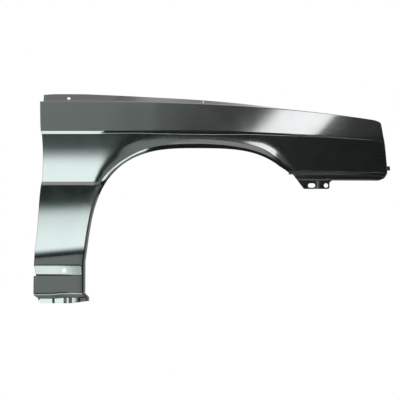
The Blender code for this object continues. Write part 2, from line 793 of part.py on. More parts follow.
def build_sheet():
    """Return the mesh of the whole sheet, as its outer face."""
    sheet = Sheet()
    columns = body_columns()
    grid = [list(row) for row in zip(*columns)]
    sheet.patch(grid)
    leg = leg_rows()
    sheet.patch(leg)

    last_leg = len(LEG_STATIONS) - 1
    last_arch = last_leg + ARCH_COLUMN_COUNT
    start = columns[last_arch][-1][0]
    stations = []
    first, last = joint_angle(), front_angle()
    for i in range(ARCH_COLUMN_COUNT, 0, -1):
        stations.append(bead_section(lerp(first, last, i / ARCH_COLUMN_COUNT)))
    for row in leg:
        x, _, z = row[-1]
        if z > 0.0:
            stations.append(bead_section(border_angle(z)))
        else:
            stations.append(bead_section(math.pi, z))
    end = [rib_point(row, 1, start) for row in range(LIP_END_INDEX + 1)]
    x, y, z = end[-1]
    end.append((x, y + LIP_DEPTH * LIP_END_SHARE, z))
    stations.insert(0, end)
    sheet.patch([list(row) for row in zip(*stations)])

    ribs = rib_rows(start)
    sheet.patch(ribs[:LIP_END_INDEX + 1])
    sheet.patch([row[1:] for row in ribs[LIP_END_INDEX:]])
    foot = ribs[-1][1:]
    split = BRACKET_LAST_INDEX - BRACKET_FIRST_INDEX
    sheet.patch(bracket_rows(foot[:split + 1]))
    rest = foot[split:]
    turned = [(x, y + FOOT_RETURN, z - FOOT_RETURN_DROP) for x, y, z in rest]
    sheet.patch([rest, turned])

    crease = [column[0] for column in columns[1:-2]]
    hood = [hood_section(point) for point in crease]
    sheet.patch([list(row) for row in zip(*hood)])

    rear = [row[0] for row in grid] + [row[0] for row in leg[1:]]
    sheet.patch(edge_return(rear, -1.0, REAR_ROLL, REAR_RETURN, 0.0))
    front = [row[-1] for row in grid] + [row[-1] for row in ribs[1:-3]]
    flange = edge_return(front, 1.0, FRONT_ROLL, FRONT_RETURN, FRONT_RETURN_LEAN)
    sheet.patch(flange)
    root = flange[-1][len(grid) - 2:len(grid)]
    tip = [(x + FRONT_RETURN_LEAN + LUG_REACH, y + LUG_SETBACK, z) for x, y, z in root]
    sheet.patch([root, tip])

    sheet.patch(sill_rows(leg[-1] + stations[-1][1:-1]))
    return sheet.mesh


def remove_everything():
    """Empty the file."""
    for thing in list(bpy.data.objects):
        bpy.data.objects.remove(thing, do_unlink=True)


def make_material(name, color, roughness, metallic):
    """Return a plain material."""
    material = bpy.data.materials.new(name)
    material.use_nodes = True
    shader = material.node_tree.nodes["Principled BSDF"]
    shader.inputs["Base Color"].default_value = color
    shader.inputs["Roughness"].default_value = roughness
    shader.inputs["Metallic"].default_value = metallic
    return material


def make_object(name, mesh):
    """Link a new object that holds a mesh."""
    data = bpy.data.meshes.new(name)
    mesh.to_mesh(data)
    mesh.free()
    thing = bpy.data.objects.new(name, data)
    bpy.context.collection.objects.link(thing)
    return thing


def cutter(name, centre, normal, length, width, upright=False):
    """Return a hidden prism with round ends that pierces the sheet."""
    straight = max(0.0, length - width) / 2.0
    radius = width / 2.0
    outline = []
    for i in range(HOLE_SIDE_COUNT):
        angle = 2.0 * math.pi * (i + 0.5) / HOLE_SIDE_COUNT
        shift = straight if math.cos(angle) > 0.0 else -straight
        a, b = radius * math.cos(angle) + shift, radius * math.sin(angle)
        outline.append((b, a) if upright else (a, b))
    up = (0.0, -normal[2], normal[1])
    mesh = bmesh.new()
    rings = []
    for side in (-CUTTER_REACH, CUTTER_REACH):
        ring = []
        for a, b in outline:
            ring.append(mesh.verts.new((
                centre[0] + a,
                centre[1] + b * up[1] + side * normal[1],
                centre[2] + b * up[2] + side * normal[2],
            )))
        rings.append(ring)
    mesh.faces.new(rings[0])
    mesh.faces.new(list(reversed(rings[1])))
    for i in range(HOLE_SIDE_COUNT):
        j = (i + 1) % HOLE_SIDE_COUNT
        mesh.faces.new((rings[0][j], rings[0][i], rings[1][i], rings[1][j]))
    bmesh.ops.recalc_face_normals(mesh, faces=mesh.faces)
    thing = make_object(name, mesh)
    thing.hide_render = True
    thing.display_type = "WIRE"
    return thing


def pierce(thing, tool):
    """Cut a hidden prism out of an object."""
    cut = thing.modifiers.new(tool.name, "BOOLEAN")
    cut.operation = "DIFFERENCE"
    cut.solver = "EXACT"
    cut.object = tool


def main():
    """Build the fender."""
    remove_everything()
    mesh = build_sheet()
    bmesh.ops.remove_doubles(mesh, verts=mesh.verts, dist=0.00002)
    bmesh.ops.recalc_face_normals(mesh, faces=mesh.faces)
    facing = sum(face.normal.y * face.calc_area() for face in mesh.faces)
    if facing > 0.0:
        bmesh.ops.reverse_faces(mesh, faces=mesh.faces)
    datum = hood_point(REAR_X + HOOD_MOUNT_AHEAD, HOOD_MOUNT_UP)
    shift = tuple(-value for value in datum)
    bmesh.ops.translate(mesh, verts=mesh.verts, vec=shift)
    for face in mesh.faces:
        face.smooth = True
    panel = make_object("fender_panel", mesh)
    coat = make_material("black_primer_coat", (0.012, 0.015, 0.014, 1.0), 0.25, 0.0)
    panel.data.materials.append(coat)
    wall = panel.modifiers.new("thickness", "SOLIDIFY")
    wall.thickness = SHEET
    wall.offset = -1.0
    wall.use_even_offset = True

    def placed(point):
        return tuple(a + b for a, b in zip(point, shift))

    hole_x = REAR_X + HOOD_HOLE_AHEAD
    hole = cutter("hood_hole", placed(hood_point(hole_x, HOOD_HOLE_UP)),
                  hood_normal(hole_x), HOOD_HOLE_DIAMETER, HOOD_HOLE_DIAMETER)
    pierce(panel, hole)
    slot = cutter("hood_slot", placed(hood_point(HOOD_SLOT_X, HOOD_SLOT_UP)),
                  hood_normal(HOOD_SLOT_X), HOOD_SLOT_LENGTH, HOOD_SLOT_WIDTH,
                  upright=True)
    pierce(panel, slot)
    flat = (0.0, -1.0, 0.0)
    web_z = FOOT_Z - RIBS[-1][0] - BRACKET_DROP + BRACKET_HOLE_RISE
    for name, ahead, length, width in (
            ("bracket_slot", SLOT_AHEAD, SLOT_WIDTH, HOLE_DIAMETER),
            ("bracket_hole", HOLE_AHEAD, HOLE_DIAMETER, HOLE_DIAMETER)):
        x = cut_x(RIBS[-1][0]) + ahead
        depth = sweep(x, web_z) + section(x, FOOT_Z)
        tool = cutter(name, placed((x, depth, web_z)), flat, length, width)
        pierce(panel, tool)
    groove_z = GROOVE_TOP - GROOVE_HEIGHT / 2.0
    groove_x = REAR_X + GROOVE_HOLE_AHEAD
    centre = (groove_x, skin(groove_x, groove_z, 1.0), groove_z)
    tool = cutter("groove_hole", placed(centre), flat,
                  GROOVE_HOLE_DIAMETER, GROOVE_HOLE_DIAMETER)
    pierce(panel, tool)


main()
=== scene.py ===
"""Looks of a car fender: one pressed steel sheet in black electro-coat, hung in a white studio.

The panel is laid out again on a finer grid than the solid it stands for, from the same lines.  Lengths
are metres.  In the working frame X runs forward and Z up from the centre of the wheel arch, and Y grows
inwards from the shoulder line.  The finished mesh is moved so that its origin lies on the hood flange.
"""

import logging
import math
from collections.abc import Callable, Iterable, Sequence
from dataclasses import dataclass
from enum import Enum
from functools import lru_cache

import bmesh
import bpy
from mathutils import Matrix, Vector


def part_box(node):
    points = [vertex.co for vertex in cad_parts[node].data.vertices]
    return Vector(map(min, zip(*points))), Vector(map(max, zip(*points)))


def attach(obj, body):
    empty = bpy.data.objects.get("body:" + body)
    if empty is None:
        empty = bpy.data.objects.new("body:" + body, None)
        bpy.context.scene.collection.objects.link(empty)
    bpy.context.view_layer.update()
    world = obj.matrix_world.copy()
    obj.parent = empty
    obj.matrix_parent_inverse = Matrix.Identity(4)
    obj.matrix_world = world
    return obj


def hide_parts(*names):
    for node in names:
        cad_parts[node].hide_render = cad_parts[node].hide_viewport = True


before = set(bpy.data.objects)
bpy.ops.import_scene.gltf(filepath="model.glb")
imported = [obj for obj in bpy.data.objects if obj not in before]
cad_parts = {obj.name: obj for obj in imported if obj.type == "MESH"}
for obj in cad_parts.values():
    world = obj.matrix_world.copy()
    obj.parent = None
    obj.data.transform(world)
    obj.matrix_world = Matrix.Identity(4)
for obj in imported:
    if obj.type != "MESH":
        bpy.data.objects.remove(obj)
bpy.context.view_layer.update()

Point = tuple[float, float, float]
Row = list[Point]
Table = tuple[tuple[float, ...], ...]

LOG = logging.getLogger("fender")
NODE = "fender_panel"
MM_PER_M = 1000.0
# Largest share of a side that one rounded corner may take.
CORNER_LIMIT = 0.46
# Halvings that find an angle of the arch, and passes that settle the leaning top of a column.
HALVINGS = 50
SETTLING_PASSES = 8


def lerp(a: float, b: float, t: float) -> float:
    """Return the value a share t of the way from a to b."""
    return a + (b - a) * t


def clamp(value: float, low: float = 0.0, high: float = 1.0) -> float:
    """Return the value held between low and high."""
    return max(low, min(high, value))


def ease(value: float) -> float:
    """Return a smooth step from 0 to 1."""
    t = clamp(value)
    return t * t * (3.0 - 2.0 * t)


def mix_points(a: Point, b: Point, t: float) -> Point:
    """Return the point a share t of the way from a to b."""
    return tuple(lerp(p, q, t) for p, q in zip(a, b))


def curve(stations: Table, x: float, column: int = 1) -> float:
    """Read one column of a table of stations on a smooth curve that never overshoots.

    Args:
        stations: Rows whose first value rises or falls steadily.
        x: Place along the first column.
        column: Column to read.

    Returns:
        The value at x, held at the ends of the table.
    """
    sign = 1.0 if stations[-1][0] > stations[0][0] else -1.0
    keys = [sign * row[0] for row in stations]
    values = [row[column] for row in stations]
    x = clamp(sign * x, keys[0], keys[-1])
    last = len(keys) - 2
    k = min(sum(1 for key in keys[1:-1] if x >= key), last)
    gaps = [(values[i + 1] - values[i]) / (keys[i + 1] - keys[i]) for i in range(len(keys) - 1)]

    def tangent(i: int) -> float:
        """Return the slope of the curve at one station."""
        if i == 0 or i == len(keys) - 1:
            return gaps[min(i, last)]
        before, after = gaps[i - 1], gaps[i]
        return 0.0 if before * after <= 0.0 else 2.0 * before * after / (before + after)

    span = keys[k + 1] - keys[k]
    t = (x - keys[k]) / span
    start = (1.0 + 2.0 * t) * (1.0 - t) ** 2 * values[k] + t * (1.0 - t) ** 2 * span * tangent(k)
    return start + t * t * (3.0 - 2.0 * t) * values[k + 1] + t * t * (t - 1.0) * span * tangent(k + 1)


def soft_ramp(value: float, width: float) -> float:
    """Return a ramp that starts at zero through a rounded foot."""
    if value <= -width:
        return 0.0
    return value if value >= width else (value + width) ** 2 / (4.0 * width)


def slope_integral(nodes: Sequence[tuple[float, float]], t: float) -> float:
    """Return the depth at fall t, measured from fall zero.

    Args:
        nodes: Pairs of fall and slope, joined by straight changes of slope.  Two at one fall are a
            sharp crease.
        t: Fall below the shoulder line.

    Returns:
        The slope summed from zero to t.
    """
    def area(limit: float) -> float:
        """Return the slope summed from the first node to a limit."""
        if limit < nodes[0][0]:
            return nodes[0][1] * (limit - nodes[0][0])
        total = 0.0
        for (t0, m0), (t1, m1) in zip(nodes, nodes[1:]):
            if limit <= t0:
                break
            if t1 == t0:
                continue
            end = min(limit, t1)
            total += (m0 + lerp(m0, m1, (end - t0) / (t1 - t0))) * 0.5 * (end - t0)
        return total + nodes[-1][1] * max(0.0, limit - nodes[-1][0])

    return area(t) - area(0.0)


def chain(levels: Sequence[float], counts: Sequence[int]) -> list[float]:
    """Return stations through a row of levels, each gap cut into its own number of steps."""
    stations = [levels[0]]
    for a, b, count in zip(levels, levels[1:], counts):
        stations += [lerp(a, b, (i + 1) / count) for i in range(count)]
    return stations


def refined(stations: Sequence[float], step: float) -> list[float]:
    """Return the stations with more between them, none further apart than a step."""
    counts = [max(1, math.ceil(abs(b - a) / step)) for a, b in zip(stations, stations[1:])]
    return chain(stations, counts)


def rounded(points: Sequence[Point], radius: float, steps: int) -> Row:
    """Round the inner corners of an open line.

    Args:
        points: Corners of the line.
        radius: Length taken from each side of a corner.
        steps: Steps across each corner.

    Returns:
        The line with steps + 1 points for each inner corner.
    """
    line = [points[0]]
    for before, corner, after in zip(points, points[1:], points[2:]):
        ends = []
        for other in (before, after):
            length = math.dist(corner, other)
            ends.append(mix_points(corner, other, min(radius / length, CORNER_LIMIT)))
        for i in range(steps + 1):
            t = i / steps
            line.append(mix_points(mix_points(ends[0], corner, t), mix_points(corner, ends[1], t), t))
    line.append(points[-1])
    return line


def transposed(rows: Iterable[Sequence[Point]]) -> list[Row]:
    """Return the columns of a grid of points given as rows."""
    return [list(column) for column in zip(*rows)]


class Facing(Enum):
    """Which way the round ends of a punched slot lie."""

    ALONG = "along"
    UPRIGHT = "upright"


class Edge(Enum):
    """An upright edge of the panel, by the side that its roll bulges to."""

    REAR = -1.0
    FRONT = 1.0


@dataclass(frozen=True)
class ArchLine:
    """Edge of the wheel arch in polar form, with the width of the bead rolled around it."""

    radius: float = 0.3576
    squareness: float = 0.0162
    lobes: float = 4.36
    lobe_angle: float = math.radians(131.0)
    straight_angle: float = math.radians(50.0)
    straight_rate: float = 0.060
    leg_angle: float = math.radians(150.0)
    leg_rate: float = 0.0046
    top_angle: float = math.radians(95.0)
    # Angle in degrees, and width of the bead there.
    bead_widths: Table = ((44.0, 0.0080), (50.0, 0.0080), (60.0, 0.0082), (70.0, 0.0090),
                          (80.0, 0.0116), (90.0, 0.0132), (108.0, 0.0130), (119.0, 0.0114),
                          (127.0, 0.0110), (135.0, 0.0130), (141.0, 0.0140), (150.0, 0.0115),
                          (160.0, 0.0100), (180.0, 0.0100))

    def edge(self, angle: float) -> float:
        """Return the distance of the arch edge from the arch centre."""
        angle = clamp(angle, 0.0, math.pi)
        wave = math.cos(self.lobes * (angle - self.lobe_angle))
        straight = self.straight_rate * max(0.0, self.straight_angle - angle)
        straight += self.leg_rate * max(0.0, angle - self.leg_angle)
        return self.radius + self.squareness * wave + straight

    def bead(self, angle: float) -> float:
        """Return the width of the bead at an angle."""
        return curve(self.bead_widths, math.degrees(angle))

    def point(self, angle: float, outward: float) -> tuple[float, float]:
        """Return X and Z of a point outside the arch edge by a given distance."""
        radius = self.edge(angle) + outward
        return radius * math.cos(angle), radius * math.sin(angle)

    def border(self, angle: float) -> tuple[float, float]:
        """Return X and Z where the bead leaves the panel."""
        return self.point(angle, self.bead(angle))

    @lru_cache(maxsize=None)
    def angle_at(self, height: float, low: float, high: float) -> float:
        """Find where the border of the bead has a height.

        Args:
            height: Height above the arch centre.
            low: Angle on the low side of it, where the border is below the height.
            high: Angle on the high side of it.

        Returns:
            The angle between the two.
        """
        for _ in range(HALVINGS):
            middle = (low + high) / 2.0
            if self.border(middle)[1] > height:
                high = middle
            else:
                low = middle
        return (low + high) / 2.0

    def rear_angle(self, height: float) -> float:
        """Return the angle at which the rear of the border has a height."""
        return self.angle_at(height, math.pi, self.top_angle)

    def leg_x(self, height: float) -> float:
        """Return X of the bead's border beside the leg."""
        angle = self.rear_angle(height) if height > 0.0 else math.pi
        return self.border(angle)[0]


@dataclass(frozen=True)
class BodyLines:
    """Creases and edges of the panel, set off from the wheel arch."""

    arch: ArchLine = ArchLine()
    shoulder_above_arch: float = 0.0354
    crease_above_shoulder: float = 0.0902
    waist_below_arch: float = 0.1171
    foot_below_arch: float = 0.0816
    leg_reach: float = 0.1469
    front_reach: float = 0.2144
    span: float = 1.040
    crease_fall: float = 0.0555
    crease_power: float = 2.6
    shoulder_fall: float = 0.0250
    shoulder_power: float = 3.5
    groove_top: float = -0.0108
    groove_height: float = 0.0324
    groove_step: float = 0.0003
    groove_notch: float = 0.0070
    front_top_radius: float = 0.0110
    front_foot_radius: float = 0.0300
    foot_height: float = 0.0312
    # Height, and how far the rear edge lies ahead of its rearmost point.
    rear_edge: Table = ((0.483, 0.0229), (0.395, 0.0260), (0.382, 0.0297), (0.316, 0.0322),
                        (0.248, 0.0287), (0.232, 0.0253), (0.190, 0.0205), (0.140, 0.0168),
                        (0.081, 0.0112), (0.030, 0.0045), (-0.010, 0.0020), (-0.096, 0.0010))
    # Height above the foot crease, and how far the front edge lies behind its foremost point.
    front_edge: Table = ((0.154, 0.0230), (0.124, 0.0175), (0.106, 0.0143), (0.085, 0.0100),
                         (0.054, 0.0060), (0.024, 0.0028), (-0.006, 0.0))

    @property
    def shoulder_z(self) -> float:
        """Height of the shoulder line at the rear."""
        return self.arch.radius + self.shoulder_above_arch

    @property
    def waist_z(self) -> float:
        """Height of the fold between the panel and its leg."""
        return self.arch.radius - self.waist_below_arch

    @property
    def foot_z(self) -> float:
        """Height of the crease above the front ribs."""
        return self.arch.radius - self.foot_below_arch

    @property
    def rear_end(self) -> float:
        """X of the rearmost point of the leg."""
        return -(self.arch.radius + self.leg_reach)

    def fall_share(self, x: float) -> float:
        """Return how far along the panel x lies, from 0 at the rear end."""
        return max(0.0, (x - self.rear_end) / self.span)

    def crease(self, x: float) -> float:
        """Return the height of the top crease."""
        fall = self.crease_fall * self.fall_share(x) ** self.crease_power
        return self.shoulder_z + self.crease_above_shoulder - fall

    def shoulder(self, x: float) -> float:
        """Return the height of the shoulder line."""
        return self.shoulder_z - self.shoulder_fall * self.fall_share(x) ** self.shoulder_power

    def groove(self, z: float) -> float:
        """Return the depth of the trim groove at a height, as a share."""
        fall = self.groove_top - z
        if fall <= 0.0 or fall >= self.groove_height:
            return 0.0
        lip = self.groove_height - self.groove_step
        return fall / lip if fall <= lip else (self.groove_height - fall) / self.groove_step

    def rear(self, z: float) -> float:
        """Return X of the rear edge."""
        return self.rear_end + curve(self.rear_edge, z) + self.groove_notch * self.groove(z)

    def front_line(self, z: float) -> float:
        """Return X of the front edge before its corners are rounded."""
        return self.arch.radius + self.front_reach - curve(self.front_edge, z - self.foot_z)

    def front(self, z: float) -> float:
        """Return X of the front edge, with its rounded top and foot."""
        x = self.front_line(z)
        top = self.crease(x) - self.front_top_radius
        foot = self.foot_z - self.foot_height + self.front_foot_radius
        rise = clamp((z - top) / self.front_top_radius)
        fall = clamp((foot - z) / self.front_foot_radius)
        x -= self.front_top_radius * (1.0 - math.sqrt(1.0 - rise * rise))
        return x - self.front_foot_radius * (1.0 - math.sqrt(1.0 - fall * fall))


@dataclass(frozen=True)
class Skin:
    """Outer face of the panel as a depth over X and Z."""

    lines: BodyLines = BodyLines()
    # X, height and depth of the ledge, and height of the brow above it.
    ledge_table: Table = ((-0.480, 0.0087, 0.0038, 0.0004), (-0.320, 0.0087, 0.0037, 0.0005),
                          (-0.265, 0.0068, 0.0043, 0.0014), (-0.180, 0.0062, 0.0041, 0.0024),
                          (-0.120, 0.0078, 0.0051, 0.0042), (0.000, 0.0086, 0.0056, 0.0050),
                          (0.090, 0.0072, 0.0047, 0.0044), (0.150, 0.0056, 0.0036, 0.0028),
                          (0.220, 0.0056, 0.0034, 0.0016), (0.330, 0.0054, 0.0025, 0.0006),
                          (0.450, 0.0042, 0.0014, 0.0004), (0.530, 0.0030, 0.0004, 0.0004))
    ledge_foot: float = 0.0009
    brow_slope: float = 0.040
    upper_slopes: tuple[float, float] = (-0.290, -0.176)
    upper_height: float = 0.0900
    # X, and the steepest slope between the ledge and the waist.
    mid_slopes: Table = ((-0.300, 0.36), (-0.150, 0.22), (0.000, 0.10), (0.200, 0.04))
    # Share of the way down from the ledge, and the share of that slope reached there.
    mid_turn: Table = ((0.00, 0.24), (0.27, 0.30), (0.43, 0.46), (0.60, 0.68), (1.00, 1.00))
    waist_height: float = 0.0085
    waist_slope: float = -0.60
    waist_fillet: float = 0.0008
    # Share of the way down from the waist to the bend, and the slope there.
    leg_turn: Table = ((0.00, 0.018), (0.24, 0.054), (0.36, 0.122), (0.42, 0.160), (0.54, 0.205),
                       (1.00, 0.270))
    bend_z: float = 0.0385
    bend_height: float = 0.0385
    bend_slant: float = 0.090
    sill_slopes: tuple[float, float] = (-0.140, -0.130)
    sill_z: float = -0.0925
    sill_hang: float = 0.0030
    sill_hang_end: tuple[float, float] = (0.30, 0.60)
    sweep_start: float = -0.100
    sweep_length: float = 0.660
    sweep_depth: float = 0.109
    sweep_power: float = 3.2
    sweep_shear: float = 0.25
    # Angle in degrees, depth of the edge, widths of the steep and the wide part, share of the wide one.
    flare: Table = ((44.0, 0.0200, 0.0050, 0.0120, 0.50), (50.0, 0.0115, 0.0070, 0.0230, 0.60),
                    (56.0, 0.0048, 0.0110, 0.0330, 0.58), (61.0, 0.0015, 0.0145, 0.0350, 0.54),
                    (66.0, 0.0000, 0.0140, 0.0310, 0.46), (75.0, -0.0006, 0.0142, 0.0250, 0.40),
                    (90.0, -0.0010, 0.0160, 0.0205, 0.42), (101.0, -0.0014, 0.0180, 0.0235, 0.46),
                    (112.0, -0.0002, 0.0220, 0.0330, 0.56), (119.0, 0.0014, 0.0290, 0.0465, 0.58),
                    (126.0, 0.0044, 0.0330, 0.0520, 0.55), (131.0, 0.0080, 0.0320, 0.0490, 0.50),
                    (137.0, 0.0130, 0.0250, 0.0330, 0.50), (141.0, 0.0190, 0.0200, 0.0260, 0.50),
                    (146.0, 0.0255, 0.0160, 0.0220, 0.50), (152.0, 0.0280, 0.0160, 0.0220, 0.50))
    # Rounding at the outer end of the steep and the wide part, against their width.
    flare_softness: tuple[float, float] = (0.14, 0.30)
    leg_roll: float = 0.0006
    leg_roll_width: float = 0.030
    groove_depth: float = 0.0112

    def ledge(self, x: float) -> tuple[float, float, float]:
        """Return height and slope of the ledge under the shoulder line, and height of its brow."""
        height = curve(self.ledge_table, x, 1)
        return height, curve(self.ledge_table, x, 2) / height, curve(self.ledge_table, x, 3)

    def sweep(self, x: float, z: float) -> float:
        """Return how far the plan curve has turned the panel inwards."""
        run = x + self.sweep_shear * (self.lines.shoulder_z - z) - self.sweep_start
        return self.sweep_depth * (max(0.0, run) / self.sweep_length) ** self.sweep_power

    def sill_line(self, share: float) -> float:
        """Return the height of the sill's edge across the leg; it hangs lower at the rear."""
        start, end = self.sill_hang_end
        return self.sill_z - self.sill_hang * (1.0 - ease((share - start) / (end - start)))

    def bend_start(self, x: float) -> float:
        """Return the height where the leg starts to bend back out."""
        return self.bend_z + self.bend_slant * (x - self.lines.rear_end)

    def section(self, x: float, z: float) -> float:
        """Return the depth of the panel's section, without flare and groove."""
        top = self.lines.shoulder(x)
        high, ledge, brow = self.ledge(x)
        waist = top - self.lines.waist_z
        leg = waist + self.waist_height
        bend = top - self.bend_start(x)
        steep = curve(self.mid_slopes, x)
        end, knee = waist - self.waist_fillet, leg + self.waist_fillet
        nodes = (
            (-self.upper_height, self.upper_slopes[0]),
            (-brow, self.upper_slopes[1]),
            (-brow, self.brow_slope),
            (0.0, self.brow_slope),
            (0.0, ledge),
            (high - self.ledge_foot, ledge),
            *((lerp(high, end, share), steep * turn) for share, turn in self.mid_turn),
            (waist + self.waist_fillet, self.waist_slope),
            (leg - self.waist_fillet, self.waist_slope),
            *((lerp(knee, bend, share), slope) for share, slope in self.leg_turn),
            (bend + self.bend_height, self.sill_slopes[0]),
            (top - self.sill_z, self.sill_slopes[1]),
        )
        return slope_integral(nodes, top - z)

    def flare_at(self, x: float, z: float) -> tuple[float, float]:
        """Return the flare's weight and edge depth at a point of the panel.

        Args:
            x: Place along the car.
            z: Height.

        Returns:
            The share of the way to the edge depth, and that depth.
        """
        arch = self.lines.arch
        if z > 0.0:
            angle = clamp(math.atan2(z, x), 0.0, math.pi)
            away = math.hypot(x, z) - arch.edge(angle) - arch.bead(angle)
        else:
            angle = math.pi
            away = arch.border(math.pi)[0] - x
        degrees = math.degrees(angle)
        leg = ease((degrees - self.flare[-3][0]) / (self.flare[-1][0] - self.flare[-3][0]))
        border = arch.leg_x(z) if leg > 0.0 else x
        low = self.sweep(border, z) + self.section(border, z) + self.leg_roll
        edge, narrow, wide, share = (curve(self.flare, degrees, k) for k in range(1, 5))
        weight = 0.0
        for width, part, softness in ((narrow, 1.0 - share, self.flare_softness[0]),
                                      (wide, share, self.flare_softness[1])):
            width = lerp(width, self.leg_roll_width, leg)
            weight += part * clamp(soft_ramp(1.0 - max(0.0, away) / width, softness))
        return weight, lerp(edge, low, leg)

    def depth(self, x: float, z: float, groove: float = 0.0) -> float:
        """Return the depth of the outer face of the panel.

        Args:
            x: Place along the car.
            z: Height.
            groove: Share of the trim groove that is pressed in here.

        Returns:
            Y of the outer face.
        """
        base = self.sweep(x, z) + self.section(x, z)
        weight, edge = self.flare_at(x, z)
        return lerp(base, edge, weight) + groove * self.groove_depth * self.lines.groove(z)


class Sheet:
    """Collects the patches of the sheet before it is thickened."""

    def __init__(self) -> None:
        """Start an empty sheet."""
        self.points: Row = []
        self.faces: list[tuple[int, ...]] = []

    def patch(self, grid: Sequence[Sequence[Point]]) -> None:
        """Add a grid of points, given as rows, as quads."""
        first, width = len(self.points), len(grid[0])
        for row in grid:
            self.points.extend(row)
        for j in range(len(grid) - 1):
            for i in range(width - 1):
                a = first + j * width + i
                self.faces.append((a, a + width, a + width + 1, a + 1))

    def mesh(self, weld: float) -> bmesh.types.BMesh:
        """Return one mesh of all patches, welded where they meet and facing out."""
        data = bpy.data.meshes.new("sheet")
        data.from_pydata(self.points, [], self.faces)
        made = bmesh.new()
        made.from_mesh(data)
        bpy.data.meshes.remove(data)
        bmesh.ops.remove_doubles(made, verts=made.verts, dist=weld)
        bmesh.ops.dissolve_degenerate(made, edges=made.edges, dist=weld)
        bmesh.ops.recalc_face_normals(made, faces=made.faces)
        if sum(face.normal.y * face.calc_area() for face in made.faces) > 0.0:
            bmesh.ops.reverse_faces(made, faces=made.faces)
        return made


